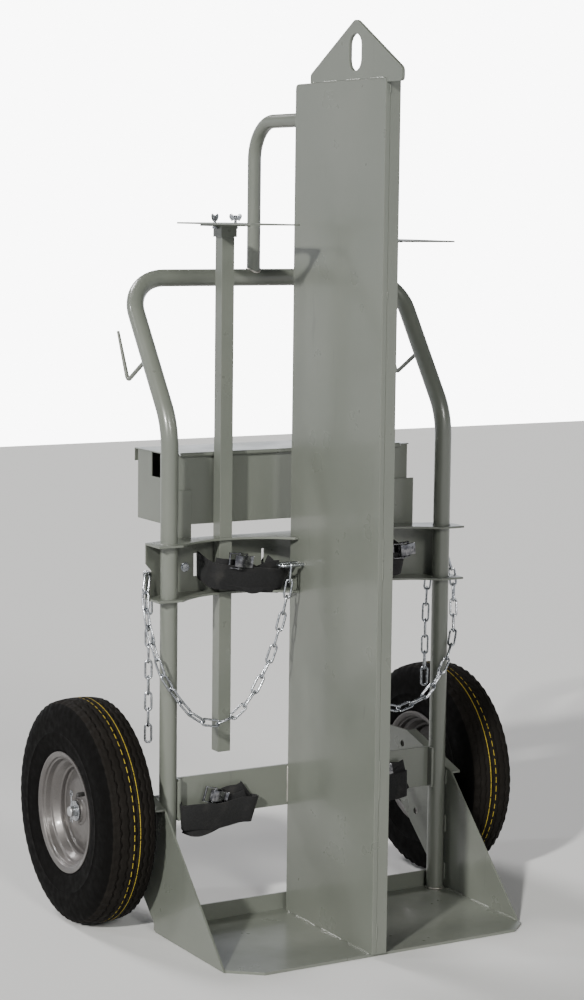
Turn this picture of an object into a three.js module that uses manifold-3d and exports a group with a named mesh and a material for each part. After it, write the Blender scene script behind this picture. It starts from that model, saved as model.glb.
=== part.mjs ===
// A gas cylinder cart: a steel base pan and bent tube frame on two pneumatic wheels, with a tall
// fire barrier between two cylinder bays, a lifting eye, a toolbox, height-adjustable cylinder
// retainers, safety chains and webbing straps.
// Millimetres. +X to the operator's right seen from the front, +Y to the back, +Z up.
// The origin is on the ground between the feet of the frame tube.
import * as THREE from 'three';
import { mergeVertices } from 'three/addons/utils/BufferGeometryUtils.js';
import Module from 'manifold-3d';

const wasm = await Module();
wasm.setup();

// ---------- driving dimensions ----------
const GAP = 0.3;                     // clearance kept between touching pieces
const PAST = 5;                      // how far a cutting tool reaches past the face it cuts

const TUBE_R = 15.9;                 // frame tube, 31.8 outside
const TUBE_WALL = 2.6;
const TUBE_X = 290.5;                // centre of each upright
const BEND_Z = 921;                  // where the uprights start to lean back
const TOP_Y = 176;                   // centre of the handle bar
const TOP_Z = 1175;
const LEAN_BEND_R = 130;
const CORNER_BEND_R = 76;
const BRACE_R = 12.7;                // brace tube from the handle bar to the fire barrier
const BRACE_WALL = 2;
const BRACE_TOP = 1461.5;            // centre of its level run
const BRACE_BEND_R = 70;

const BASE_T = 5;                    // base pan
const BASE_HALF = 306.4;
const BASE_FRONT = -293.5;
const LIP_FRONT = 17;
const LIP_T = 4;
const LIP_H = 35;
const CORNER_LEFT = [54, 43];        // clipped front corners, along X and Y
const CORNER_RIGHT = [36, 31];

const SIDE_T = 3.5;                  // side plates
const SIDE_IN = BASE_HALF + GAP;
const SIDE_OUT = SIDE_IN + SIDE_T;
const SIDE_FLANGE = 18;
const SIDE_OUTLINE = [[-252, 1], [8, 1], [16, 20], [200, 186], [200, 284], [131, 286], [-24, 236]];
const SIDE_CORNERS = [0, 4, 4, 12, 8, 10, 6];
const SIDE_HOLE_R = 6.5;
const SIDE_HOLES = [[147, 256], [96, 131]];

const WALL_X = -25.3;                // fire barrier, offset towards the narrow bay
const WALL_T = 30;
const WALL_LEFT = WALL_X - WALL_T / 2;
const WALL_RIGHT = WALL_X + WALL_T / 2;
const WALL_FRONT = -299;
const WALL_BACK = 1.5;
const WALL_TOP = 1524;
const SKIN_T = 2.5;
const WALL_CORNER_R = 10;
const SEAM_X = WALL_LEFT + 9;        // the joint between the two skins on the front edge

const LIFT_FRONT = -346;             // lifting plate
const LIFT_BACK = -48;
const LIFT_SHOULDER = 1539;
const LIFT_LIP = 1517;               // it hooks over the barrier's front edge down to here
const LIFT_TOP = 1628;
const LIFT_CORNERS = [0, 9, 16, 12, 8, 0, 0];
const LIFT_T = 6.4;
const LIFT_X = WALL_LEFT + 1;
const SLOT_R = 19.5;
const SLOT_LOW = 1558.5;
const SLOT_HIGH = 1583;

const WHEEL_R = 206;                 // 4.80/4.00-8 tyre
const WHEEL_X = 383.6;
const WHEEL_SIDES = 30;
const TYRE_W = 104;
const AXLE_Y = 144;
const AXLE_R = 9.5;
const RIM_R = 111;                   // over the rim's flanges
const RIM_HALF = 46;
const RIM_FLANGE = 3.5;
const SEAT_R = 101.4;                // where the tyre's beads sit
const RIM_T = 2.4;
const WELL_R = 89.4;                 // floor of the rim's well, and where its slopes start and end
const WELL_TOP = 23;
const WELL_BOTTOM = 12;
const DISC_X = 8;
const DISC_STEP_R = 60;
const DISC_DISH = 1.4;
const HUB_R = 24;
const HUB_IN = 42;                   // the hub's reach from the wheel's centre, inboard and outboard
const HUB_OUT = 20;
const BORE_R = 14;
const BEARING_BORE_R = 9.9;
const VALVE_DY = -52;                // the valve's place from the wheel's centre
const VALVE_DZ = 44;
const VALVE_TIP = 43;
const VALVE_R = 4;
const VALVE_FOOT_R = 5.7;
const END_PLAY = 0.8;                // between each hub and what stands beside it
const SPACER_OUT = WHEEL_X - HUB_IN - END_PLAY;
const SPACER_R = 14;
const WASHER_R = 19;
const WASHER_X = WHEEL_X + HUB_OUT + END_PLAY;
const AXLE_WASHER_T = 3;
const AXLE_END = WHEEL_X + 35;
const COTTER_R = 1.6;
const COTTER_X = AXLE_END - 5;
const COTTER_EYE_R = 4.5;
const COTTER_UP = 30;                // the pin's reach above and below the axle's centre
const COTTER_DOWN = 22;

const SADDLE_BOTTOM = 609;           // upper cross channel
const SADDLE_TOP = 711;
const SADDLE_T = 4;
const SADDLE_BACK = 56;
const SADDLE_TIP = 324;
const SADDLE_NOSE = -28;
const SADDLE_WING_X = 245;           // outboard of here the channel's back wall turns forwards
const SADDLE_WING_Y = 28;            // and reaches this far back at the tip
const CHAIN_SLOT = { y: 20, z: 668, width: 8, length: 60, height: 34 };
const STRAP_SLOTS = [[203.4, 213], [66, 72]];
const STRAP_SLOT_BOTTOM = 640;
const STRAP_SLOT_TOP = 682;
const CRADLE_R = 160;                // hollow in the flanges that a cylinder leans into
const CRADLE_Y = 19;                 // its deepest point
const CRADLE_REACH = 114;            // half of its width
const BAY_X = 162;                   // centre of each cylinder bay and post

const BAR_BOTTOM = 207.5;            // lower crossbar
const BAR_TOP = 283.5;
const BAR_T = 5;
const BAR_Y = WALL_BACK + GAP;
const BAR_EAR_T = 4;
const BAR_EAR_FRONT = -12;

const BOX_LEFT = -259;               // toolbox
const BOX_RIGHT = 249;
const BOX_Y = 60;
const BOX_DEPTH = 127;
const BOX_BOTTOM = 734;
const BOX_TOP = 861;
const SHEET = 2;
const NOTCH = { y0: 97, y1: 131, z: 817 };  // hole for the hoses in the toolbox's left end
const LID_OVER = 2;                  // the lid stands out this much at each end
const LID_BACK = BOX_Y + BOX_DEPTH + 10;
const LID_LIP = 22;
const PIN_R = 2;
const PIN_Y = 57;
const KNUCKLES = 7;
const KNUCKLE_R = 4;
const KNUCKLE_PLAY = 0.5;
const KNUCKLE_START = 20;            // from the toolbox's ends to the hinge
const BRACKET_T = 3;
const BRACKET_IN = 216;
const BRACKET_OUT = 262;
const BRACKET_BOTTOM = 622;
const BRACKET_TOP = 797;
const BOLT_X = 231;
const BOLT_Z = 658;
const BOLT_R = 4;
const BOLT_HEAD_R = 7.5;

const POST = 25.4;                   // retainer posts and plates
const POST_Y = 37;
const POST_LENGTH = 955;
const HEAD_T = 3;
const RETAINER_Z = 1274;
const RETAINER_T = 3;
const RETAINER_HALF = 52;
const RETAINER_FRONT = -143;
const RETAINER_BACK = 129;
const NECK_R = 43;
const NECK_Y = -87;
const WING_DX = 21;
const RIGHT_DROP = 28;               // the right retainer stands this much lower
const POST_WALL = 2;
const HEAD_HALF_X = 36;
const HEAD_HALF_Y = 28;
const HEAD_COLLAR = 22;
const SCREW_HOLE_R = 3.4;
const SCREW_R = 3;
const SCREW_HEAD_R = 5.5;
const SCREW_WASHER_R = 8;
const WASHER_T = 1.2;
const SET_SCREW_R = 4.5;
const SET_SCREW_Z = 660;
const SET_SCREW_HEAD = 12;           // across its square head

const HOOK_R = 4;                    // hose hooks
const HOOK_FOOT = [96, 1030];
const HOOK_BEND = [167, 989];
const HOOK_TIP = [208, 1077];

const EYE_Z = 664;                   // chain eyes
const EYE_REACH = 46;
const EYE_FRONT = -50;
const EYE_BACK = -26;
const EYE_R = 3.2;

const CHAIN_R = 7.5;                 // outer radius of a chain's envelope
const STRAP_T = 3;
const STRAP_IN = 52;                 // upper straps, along X from the barrier outwards
const STRAP_OUT = 206;
const STRAP_DEPTH = 14;
const STRAP_CORNER_R = 11;
const STRAP_BOTTOM = SADDLE_BOTTOM + SADDLE_T + GAP;
const STRAP_TOP = 668;
const BUNDLE_X = { left: -195, right: 152 };  // centres of the lower straps
const BUNDLE_FRONT = -26;
const BUCKLE = { wide: 60, deep: 11, high: 30, window: 16, rim: 5 };
const BUCKLE_LEFT = [-156, 664];     // centre along X, and lower edge
const BUCKLE_RIGHT = [184, 654];

// ---------- materials ----------
function material(color, roughness, metalness) {
  return new THREE.MeshStandardMaterial({ color, roughness, metalness });
}
const PAINT = () => material(0x85887c, 0.35, 0.1);
const ZINC = () => material(0xc9ccd0, 0.3, 0.9);
const SILVER = () => material(0xa9a5a3, 0.4, 0.7);
const TYRE = () => material(0x1b1918, 0.85, 0);
const BLACK_RUBBER = () => material(0x151515, 0.7, 0);
const WEBBING = () => material(0x131313, 0.9, 0);
const FIREBOARD = () => material(0xb9b4a6, 0.95, 0);
const STEEL = () => material(0x8f9092, 0.45, 0.9);

// ---------- solid helpers ----------
function toSolid(geometry) {
  const bare = geometry.index ? geometry.toNonIndexed() : geometry.clone();
  bare.deleteAttribute('normal');
  bare.deleteAttribute('uv');
  const merged = mergeVertices(bare, 1e-4);
  const mesh = new wasm.Mesh({
    numProp: 3,
    vertProperties: new Float32Array(merged.attributes.position.array),
    triVerts: new Uint32Array(merged.index.array),
  });
  mesh.merge();
  return new wasm.Manifold(mesh);
}

function toGeometry(solid) {
  const mesh = solid.getMesh();
  const geometry = new THREE.BufferGeometry();
  geometry.setAttribute('position', new THREE.BufferAttribute(new Float32Array(mesh.vertProperties), 3));
  geometry.setIndex(new THREE.BufferAttribute(new Uint32Array(mesh.triVerts), 1));
  const flat = geometry.toNonIndexed();
  flat.computeVertexNormals();
  return flat;
}

function join(...geometries) {
  return toGeometry(geometries.map(toSolid).reduce((a, b) => a.add(b)));
}

function cut(geometry, ...tools) {
  return toGeometry(tools.map(toSolid).reduce((a, b) => a.subtract(b), toSolid(geometry)));
}

function box(x0, x1, y0, y1, z0, z1) {
  const g = new THREE.BoxGeometry(x1 - x0, y1 - y0, z1 - z0);
  return g.translate((x0 + x1) / 2, (y0 + y1) / 2, (z0 + z1) / 2);
}

function extrude(shape, depth, curveSegments = 4) {
  return new THREE.ExtrudeGeometry(shape, { depth, bevelEnabled: false, curveSegments });
}

// A shape drawn in (y, z), pushed out along X from x0 to x1.
function alongX(shape, x0, x1, curveSegments = 4) {
  const basis = new THREE.Matrix4().makeBasis(
    new THREE.Vector3(0, 1, 0), new THREE.Vector3(0, 0, 1), new THREE.Vector3(1, 0, 0));
  return extrude(shape, x1 - x0, curveSegments).applyMatrix4(basis).translate(x0, 0, 0);
}

// A shape drawn in (x, z), pushed out along Y from y0 to y1.
function alongY(shape, y0, y1, curveSegments = 4) {
  const basis = new THREE.Matrix4().makeBasis(
    new THREE.Vector3(1, 0, 0), new THREE.Vector3(0, 0, 1), new THREE.Vector3(0, -1, 0));
  return extrude(shape, y1 - y0, curveSegments).applyMatrix4(basis).translate(0, y1, 0);
}

// A shape drawn in (x, y), pushed up from z0 to z1.
function alongZ(shape, z0, z1, curveSegments = 4) {
  return extrude(shape, z1 - z0, curveSegments).translate(0, 0, z0);
}

function rodX(r, x0, x1, y, z, sides = 14) {
  const g = new THREE.CylinderGeometry(r, r, x1 - x0, sides);
  return g.rotateZ(Math.PI / 2).translate((x0 + x1) / 2, y, z);
}

function rodY(r, y0, y1, x, z, sides = 10) {
  return new THREE.CylinderGeometry(r, r, y1 - y0, sides).translate(x, (y0 + y1) / 2, z);
}

function rodZ(r, z0, z1, x, y, sides = 10) {
  const g = new THREE.CylinderGeometry(r, r, z1 - z0, sides);
  return g.rotateX(Math.PI / 2).translate(x, y, (z0 + z1) / 2);
}

function polygon(points) {
  return new THREE.Shape(points.map(([a, b]) => new THREE.Vector2(a, b)));
}

// A polygon whose corners are rounded, one radius for each corner.
function roundedPolygon(points, radii) {
  const shape = new THREE.Shape();
  points.forEach(([x, y], i) => {
    const here = new THREE.Vector2(x, y);
    const before = new THREE.Vector2(...points.at(i - 1));
    const after = new THREE.Vector2(...points[(i + 1) % points.length]);
    const inward = before.sub(here).normalize();
    const onward = after.sub(here).normalize();
    const reach = radii[i] / Math.tan(inward.angleTo(onward) / 2);
    const start = here.clone().addScaledVector(inward, reach);
    const end = here.clone().addScaledVector(onward, reach);
    if (i === 0) shape.moveTo(start.x, start.y);
    else shape.lineTo(start.x, start.y);
    if (radii[i] > 0) shape.quadraticCurveTo(here.x, here.y, end.x, end.y);
  });
  shape.closePath();
  return shape;
}

function disc(r, inner = 0) {
  const shape = new THREE.Shape().absarc(0, 0, r, 0, Math.PI * 2);
  if (inner > 0) shape.holes.push(new THREE.Path().absarc(0, 0, inner, 0, Math.PI * 2, true));
  return shape;
}

// A rod's centreline: straight runs joined by round bends. Stations lie only where the line turns.
class BentLine extends THREE.Curve {
  constructor(corners, radius, perBend) {
    super();
    this.stations = [];
    const points = corners.map((c) => new THREE.Vector3(...c));
    const radii = Array.isArray(radius) ? radius : points.map(() => radius);
    this.addStation(points[0], points[1].clone().sub(points[0]));
    for (let i = 1; i < points.length - 1; i += 1) this.addBend(points, i, radii[i], perBend);
    this.addStation(points.at(-1), points.at(-1).clone().sub(points.at(-2)));
  }

  addStation(point, tangent) {
    this.stations.push({ point: point.clone(), tangent: tangent.clone().normalize() });
  }

  addBend(points, i, radius, steps) {
    const into = points[i].clone().sub(points[i - 1]).normalize();
    const out = points[i + 1].clone().sub(points[i]).normalize();
    const turn = into.angleTo(out);
    const start = points[i].clone().addScaledVector(into, -radius * Math.tan(turn / 2));
    const side = out.clone().addScaledVector(into, -out.dot(into)).normalize();
    for (let k = 0; k <= steps; k += 1) {
      const a = (turn * k) / steps;
      const p = start.clone().addScaledVector(into, radius * Math.sin(a));
      p.addScaledVector(side, radius * (1 - Math.cos(a)));
      const t = into.clone().multiplyScalar(Math.cos(a)).addScaledVector(side, Math.sin(a));
      this.addStation(p, t);
    }
  }

  get steps() {
    return this.stations.length - 1;
  }

  getUtoTmapping(u) {
    return u;
  }

  between(t, key) {
    const place = Math.min(Math.max(t, 0), 1) * this.steps;
    const i = Math.min(Math.floor(place), this.steps - 1);
    return this.stations[i][key].clone().lerp(this.stations[i + 1][key], place - i);
  }

  getPoint(t) {
    return this.between(t, 'point');
  }

  getTangent(t) {
    return this.between(t, 'tangent').normalize();
  }
}

function sweep(line, shape, curveSegments) {
  const options = { steps: line.steps, extrudePath: line, bevelEnabled: false, curveSegments };
  return new THREE.ExtrudeGeometry(shape, options);
}

const cart = new THREE.Group();
function piece(name, geometry, look) {
  const mesh = new THREE.Mesh(geometry, look);
  mesh.name = name;
  cart.add(mesh);
  return mesh;
}

const SIDES = [{ name: 'left', s: -1 }, { name: 'right', s: 1 }];

// x0..x1 on the side s of the cart, lowest first
function span(s, x0, x1) {
  return s > 0 ? [x0, x1] : [-x1, -x0];
}

// ---------- base and frame ----------
function basePan() {
  const plan = polygon([
    [-BASE_HALF, LIP_FRONT + LIP_T], [-BASE_HALF, BASE_FRONT + CORNER_LEFT[1]],
    [-BASE_HALF + CORNER_LEFT[0], BASE_FRONT], [BASE_HALF - CORNER_RIGHT[0], BASE_FRONT],
    [BASE_HALF, BASE_FRONT + CORNER_RIGHT[1]], [BASE_HALF, LIP_FRONT + LIP_T]]);
  const lip = roundedPolygon([
    [LIP_FRONT - LIP_T, 0], [LIP_FRONT + LIP_T, 0], [LIP_FRONT + LIP_T, LIP_H], [LIP_FRONT, LIP_H],
    [LIP_FRONT, BASE_T], [LIP_FRONT - LIP_T, BASE_T]], [0, LIP_T, 0, 0, 0, 0]);
  const half = BASE_HALF + PAST;
  const corner = box(-half, half, LIP_FRONT, LIP_FRONT + LIP_T + PAST, -PAST, BASE_T - 1);
  return join(cut(alongZ(plan, 0, BASE_T), corner), alongX(lip, -BASE_HALF, BASE_HALF));
}

function sidePlate(s) {
  const outline = roundedPolygon(SIDE_OUTLINE, SIDE_CORNERS);
  const [flangeEnd, flangeStart] = SIDE_OUTLINE.slice(-2);
  const slope = Math.atan2(flangeEnd[1] - flangeStart[1], flangeEnd[0] - flangeStart[0]);
  const drop = SIDE_T / Math.cos(slope);
  const flange = polygon([
    flangeStart, flangeEnd, [flangeEnd[0], flangeEnd[1] - drop], [flangeStart[0], flangeStart[1] - drop]]);
  const [x0, x1] = span(s, SIDE_IN, SIDE_OUT);
  const [f0, f1] = span(s, SIDE_OUT - 1, SIDE_OUT + SIDE_FLANGE);
  const across = span(s, SIDE_IN - PAST, SIDE_OUT + PAST);
  const drills = SIDE_HOLES.map(([y, z]) => rodX(SIDE_HOLE_R, ...across, y, z));
  const axleHole = rodX(AXLE_R + GAP, ...across, AXLE_Y, WHEEL_R);
  return cut(join(alongX(outline, x0, x1), alongX(flange, f0, f1)), axleHole, ...drills);
}

function frameTube() {
  const foot = BASE_T + GAP;
  const line = new BentLine([
    [-TUBE_X, 0, foot], [-TUBE_X, 0, BEND_Z], [-TUBE_X, TOP_Y, TOP_Z],
    [TUBE_X, TOP_Y, TOP_Z], [TUBE_X, 0, BEND_Z], [TUBE_X, 0, foot]],
    [0, LEAN_BEND_R, CORNER_BEND_R, CORNER_BEND_R, LEAN_BEND_R, 0], 4);
  return sweep(line, disc(TUBE_R, TUBE_R - TUBE_WALL), 7);
}

function braceTube() {
  const corners = [[WALL_X, TOP_Y, TOP_Z], [WALL_X, TOP_Y, BRACE_TOP], [WALL_X, WALL_BACK + GAP, BRACE_TOP]];
  const line = new BentLine(corners, BRACE_BEND_R, 7);
  const reach = TUBE_R + PAST;
  const cope = rodX(TUBE_R + GAP, WALL_X - reach, WALL_X + reach, TOP_Y, TOP_Z, 20);
  return cut(sweep(line, disc(BRACE_R, BRACE_R - BRACE_WALL), 6), cope);
}

// ---------- fire barrier ----------
function wallSheet(x0, x1) {
  const foot = BASE_T + GAP;
  const outline = roundedPolygon(
    [[WALL_FRONT, foot], [WALL_BACK, foot], [WALL_BACK, WALL_TOP], [WALL_FRONT, WALL_TOP]],
    [0, 0, WALL_CORNER_R, 0]);
  return alongX(outline, x0, x1);
}

function wallLeftSkin() {
  const sheet = wallSheet(WALL_LEFT, WALL_LEFT + SKIN_T);
  const edge = box(WALL_LEFT, SEAM_X, WALL_FRONT, WALL_FRONT + SKIN_T, BASE_T + GAP, WALL_TOP);
  return join(sheet, edge);
}

function wallRightSkin() {
  const inner = WALL_LEFT + SKIN_T + GAP;
  const low = WALL_TOP - WALL_CORNER_R;
  const sheet = wallSheet(WALL_RIGHT - SKIN_T, WALL_RIGHT);
  const front = box(SEAM_X + GAP, WALL_RIGHT, WALL_FRONT, WALL_FRONT + SKIN_T, BASE_T + GAP, WALL_TOP);
  const back = box(inner, WALL_RIGHT, WALL_BACK - SKIN_T, WALL_BACK, BASE_T + GAP, low);
  const frontY = WALL_FRONT + SKIN_T + GAP;
  const top = box(inner, WALL_RIGHT, frontY, WALL_BACK - WALL_CORNER_R, WALL_TOP - SKIN_T, WALL_TOP);
  return join(sheet, front, back, top);
}

function wallCore() {
  const step = SKIN_T + GAP;
  return box(WALL_LEFT + step, WALL_RIGHT - step, WALL_FRONT + step, WALL_BACK - step - WALL_CORNER_R,
    BASE_T + GAP, WALL_TOP - step);
}

function liftPlate() {
  const middle = (LIFT_BACK + LIFT_FRONT) / 2;
  const seat = WALL_TOP + GAP;
  const nose = WALL_FRONT - GAP;
  const outline = roundedPolygon([
    [LIFT_BACK, seat], [LIFT_BACK, LIFT_SHOULDER], [middle, LIFT_TOP], [LIFT_FRONT, LIFT_SHOULDER],
    [LIFT_FRONT, LIFT_LIP], [nose, LIFT_LIP], [nose, seat]], LIFT_CORNERS);
  const slot = new THREE.Path();
  slot.absarc(middle, SLOT_HIGH, SLOT_R, 0, Math.PI);
  slot.absarc(middle, SLOT_LOW, SLOT_R, Math.PI, Math.PI * 2);
  outline.holes.push(slot);
  return alongX(outline, LIFT_X, LIFT_X + LIFT_T);
}

// ---------- upper channel and lower crossbar ----------
function cradleEdge(s) {
  // the front edge of one bay, from its outboard end to the fire barrier
  const centreY = CRADLE_Y - CRADLE_R;
  const half = Math.asin(CRADLE_REACH / CRADLE_R);
  const steps = 8;
  const points = [];
  for (let i = 0; i <= steps; i += 1) {
    const a = half - (2 * half * i) / steps;
    points.push([s * (BAY_X + CRADLE_R * Math.sin(a)), centreY + CRADLE_R * Math.cos(a)]);
  }
  return points;
}

function saddleFlange(z0, z1) {
  const leftEdge = cradleEdge(-1);
  const rightEdge = cradleEdge(1).reverse();
  const plan = polygon([
    [-SADDLE_TIP, SADDLE_WING_Y], [-SADDLE_TIP, SADDLE_NOSE], ...leftEdge,
    [WALL_LEFT - GAP, leftEdge.at(-1)[1]], [WALL_LEFT - GAP, WALL_BACK + GAP],
    [WALL_RIGHT + GAP, WALL_BACK + GAP], [WALL_RIGHT + GAP, rightEdge[0][1]], ...rightEdge,
    [SADDLE_TIP, SADDLE_NOSE], [SADDLE_TIP, SADDLE_WING_Y], [SADDLE_WING_X, SADDLE_BACK],
    [-SADDLE_WING_X, SADDLE_BACK]]);
  return alongZ(plan, z0, z1);
}

// The holes of one bay: for the upright, the post, the strap, the two screws and the chain.
function saddleHoles(s) {
  const low = SADDLE_BOTTOM - PAST;
  const high = SADDLE_TOP + PAST;
  const front = SADDLE_BACK - SADDLE_T - PAST;
  const back = SADDLE_BACK + PAST;
  const h = POST / 2 + GAP;
  const x = s * BAY_X;
  const { y, z, width, length, height } = CHAIN_SLOT;
  const chainSlot = new THREE.BoxGeometry(width, length, height).rotateY((s * Math.PI) / 4);
  const strapSlots = STRAP_SLOTS.map((across) => (
    box(...span(s, ...across), front, back, STRAP_SLOT_BOTTOM, STRAP_SLOT_TOP)));
  return [
    rodZ(TUBE_R + GAP, low, high, s * TUBE_X, 0, 24),
    box(x - h, x + h, POST_Y - h, POST_Y + h, low, high),
    rodY(SET_SCREW_R + GAP, front, back, x, SET_SCREW_Z, 12),
    rodY(BOLT_R + GAP, front, back, s * BOLT_X, BOLT_Z, 12),
    chainSlot.translate(s * SADDLE_TIP, y, z),
    ...strapSlots,
  ];
}

function saddle() {
  const t = SADDLE_T;
  const backPlan = polygon([
    [-SADDLE_TIP, SADDLE_WING_Y], [-SADDLE_TIP, SADDLE_WING_Y - t], [-SADDLE_WING_X, SADDLE_BACK - t],
    [SADDLE_WING_X, SADDLE_BACK - t], [SADDLE_TIP, SADDLE_WING_Y - t], [SADDLE_TIP, SADDLE_WING_Y],
    [SADDLE_WING_X, SADDLE_BACK], [-SADDLE_WING_X, SADDLE_BACK]]);
  const body = join(
    alongZ(backPlan, SADDLE_BOTTOM, SADDLE_TOP),
    saddleFlange(SADDLE_TOP - t, SADDLE_TOP),
    saddleFlange(SADDLE_BOTTOM, SADDLE_BOTTOM + t));
  return cut(body, ...SIDES.flatMap(({ s }) => saddleHoles(s)));
}

function crossbar() {
  const end = TUBE_X - TUBE_R - GAP;
  const back = BAR_Y + BAR_T;
  const ears = SIDES.map(({ s }) => (
    box(...span(s, end - BAR_EAR_T, end), BAR_EAR_FRONT, back, BAR_BOTTOM, BAR_TOP)));
  return join(box(-end + 1, end - 1, BAR_Y, back, BAR_BOTTOM, BAR_TOP), ...ears);
}

// ---------- axle and wheels ----------
function onShaft(s, x0, x1, r) {
  const bore = rodX(AXLE_R + 0.05, ...span(s, x0 - PAST, x1 + PAST), AXLE_Y, WHEEL_R);
  return cut(rodX(r, ...span(s, x0, x1), AXLE_Y, WHEEL_R), bore);
}

function axle() {
  const low = WHEEL_R - AXLE_R - PAST;
  const high = WHEEL_R + AXLE_R + PAST;
  const holes = SIDES.map(({ s }) => rodZ(COTTER_R + GAP, low, high, s * COTTER_X, AXLE_Y, 8));
  return cut(rodX(AXLE_R, -AXLE_END, AXLE_END, AXLE_Y, WHEEL_R), ...holes);
}

function cotterPin(s) {
  const x = s * COTTER_X;
  const neck = WHEEL_R + COTTER_UP;
  const shank = rodZ(COTTER_R, WHEEL_R - COTTER_DOWN, neck, x, AXLE_Y, 8);
  const head = new THREE.TorusGeometry(COTTER_EYE_R, COTTER_R, 5, 8).rotateY(Math.PI / 2);
  return join(shank, head.translate(x, AXLE_Y, neck + 3));
}

// A wheel profile is drawn as (radius, offset along the axle), then turned about the axle.
function turned(profile, sides) {
  const points = profile.map(([r, x]) => new THREE.Vector2(r, x));
  if (THREE.ShapeUtils.isClockWise(points)) points.reverse();
  return new THREE.LatheGeometry([...points, points[0]], sides).rotateZ(-Math.PI / 2);
}

// Puts a wheel's piece, drawn with its outboard side at +X, on its end of the axle.
function onAxle(geometry, s) {
  const facing = s > 0 ? geometry : geometry.rotateZ(Math.PI);
  return facing.translate(s * WHEEL_X, AXLE_Y, WHEEL_R);
}

// A wheel's half profile on its +X side, followed by the same points mirrored to the -X side.
function mirrored(half) {
  return [...half, ...half.map(([r, x]) => [r, -x]).reverse()];
}

function tyre(s) {
  const half = TYRE_W / 2;
  const bead = RIM_HALF - RIM_FLANGE - GAP;
  const outside = mirrored([
    [SEAT_R + GAP, bead], [RIM_R + 0.6, bead], [RIM_R + 3, half - 6], [142, half], [172, half],
    [194, half - 13], [WHEEL_R, half - 34]]);
  const inside = mirrored([
    [SEAT_R + GAP, bead - 11], [118, half - 17], [140, half - 8], [180, half - 13], [190, 12]]);
  return onAxle(turned([...outside, ...inside.reverse()], WHEEL_SIDES), s);
}

function rim(s) {
  const ledge = RIM_HALF - RIM_FLANGE;
  const inner = SEAT_R - RIM_T;
  const disc = DISC_X + RIM_T;
  const outer = mirrored([
    [RIM_R, RIM_HALF], [RIM_R, ledge], [SEAT_R, ledge], [SEAT_R, WELL_TOP], [WELL_R, WELL_BOTTOM]]);
  const floor = WELL_R - RIM_T;
  const dish = [[floor, -DISC_DISH], [DISC_STEP_R, 0], [HUB_R + GAP, 0]];
  const solid = turned([
    ...outer,
    [inner, -RIM_HALF], [inner, -WELL_TOP - RIM_T], [floor, -WELL_BOTTOM - RIM_T],
    ...dish.map(([r, x]) => [r, DISC_X + x]),
    ...dish.map(([r, x]) => [r, disc + x]).reverse(),
    [floor, WELL_BOTTOM + RIM_T], [inner, WELL_TOP + RIM_T], [inner, RIM_HALF]], WHEEL_SIDES);
  const valveHole = rodX(VALVE_FOOT_R + GAP, DISC_X - PAST, disc + PAST, s * VALVE_DY, VALVE_DZ, 12);
  return onAxle(cut(solid, valveHole), s);
}

function hub(s) {
  const profile = [[HUB_R, -HUB_IN], [HUB_R, HUB_OUT], [BORE_R, HUB_OUT], [BORE_R, -HUB_IN]];
  return onAxle(turned(profile, 14), s);
}

function bearing(s) {
  const r = BORE_R - 0.05;
  const [x0, x1] = [1 - HUB_IN, HUB_OUT - 1];
  return onAxle(turned([[r, x0], [r, x1], [BEARING_BORE_R, x1], [BEARING_BORE_R, x0]], 14), s);
}

function valveStem(s) {
  const y = AXLE_Y + VALVE_DY;
  const z = WHEEL_R + VALVE_DZ;
  const foot = rodX(VALVE_FOOT_R, ...span(s, WHEEL_X + 1, WHEEL_X + 12), y, z, 12);
  return join(foot, rodX(VALVE_R, ...span(s, WHEEL_X + 6, WHEEL_X + VALVE_TIP), y, z, 12));
}

// ---------- toolbox ----------
function knuckle(i, r, play) {
  const pitch = (BOX_RIGHT - BOX_LEFT - KNUCKLE_START * 2) / KNUCKLES;
  const x0 = BOX_LEFT + KNUCKLE_START + pitch * i;
  return rodX(r, x0 + play, x0 + pitch - play, PIN_Y, BOX_TOP, 10);
}

function knucklesOf(parity) {
  return [...Array(KNUCKLES).keys()].filter((i) => i % 2 === parity);
}

function pinBore() {
  return rodX(PIN_R + GAP, BOX_LEFT, BOX_RIGHT, PIN_Y, BOX_TOP, 10);
}

function toolboxBody() {
  const outer = box(BOX_LEFT, BOX_RIGHT, BOX_Y, BOX_Y + BOX_DEPTH, BOX_BOTTOM, BOX_TOP);
  const inner = box(BOX_LEFT + SHEET, BOX_RIGHT - SHEET, BOX_Y + SHEET, BOX_Y + BOX_DEPTH - SHEET,
    BOX_BOTTOM + SHEET, BOX_TOP + PAST);
  const notch = box(BOX_LEFT - PAST, BOX_LEFT + PAST, NOTCH.y0, NOTCH.y1, NOTCH.z, BOX_TOP + PAST);
  const shell = cut(outer, inner, notch);
  const mine = knucklesOf(0).map((i) => knuckle(i, KNUCKLE_R, KNUCKLE_PLAY));
  const lids = knucklesOf(1).map((i) => knuckle(i, KNUCKLE_R + 0.5, -KNUCKLE_PLAY));
  return cut(join(shell, ...mine), ...lids, pinBore());
}

function toolboxLid() {
  const low = BOX_TOP + GAP;
  const ends = [BOX_LEFT - LID_OVER, BOX_RIGHT + LID_OVER];
  const sheet = box(...ends, PIN_Y + 1, LID_BACK, low, low + SHEET);
  const lip = box(...ends, LID_BACK - SHEET, LID_BACK, low - LID_LIP, low + SHEET);
  const mine = knucklesOf(1).map((i) => knuckle(i, KNUCKLE_R, KNUCKLE_PLAY));
  const bodys = knucklesOf(0).map((i) => knuckle(i, KNUCKLE_R + 0.5, -KNUCKLE_PLAY));
  return cut(join(sheet, lip, ...mine), ...bodys, pinBore());
}

function toolboxBracket(s) {
  const y0 = SADDLE_BACK + GAP;
  const y1 = y0 + BRACKET_T;
  const strip = box(...span(s, BRACKET_IN, BRACKET_OUT), y0, y1, BRACKET_BOTTOM, BRACKET_TOP);
  return cut(strip, rodY(BOLT_R + GAP, y0 - PAST, y1 + PAST, s * BOLT_X, BOLT_Z, 12));
}

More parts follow.
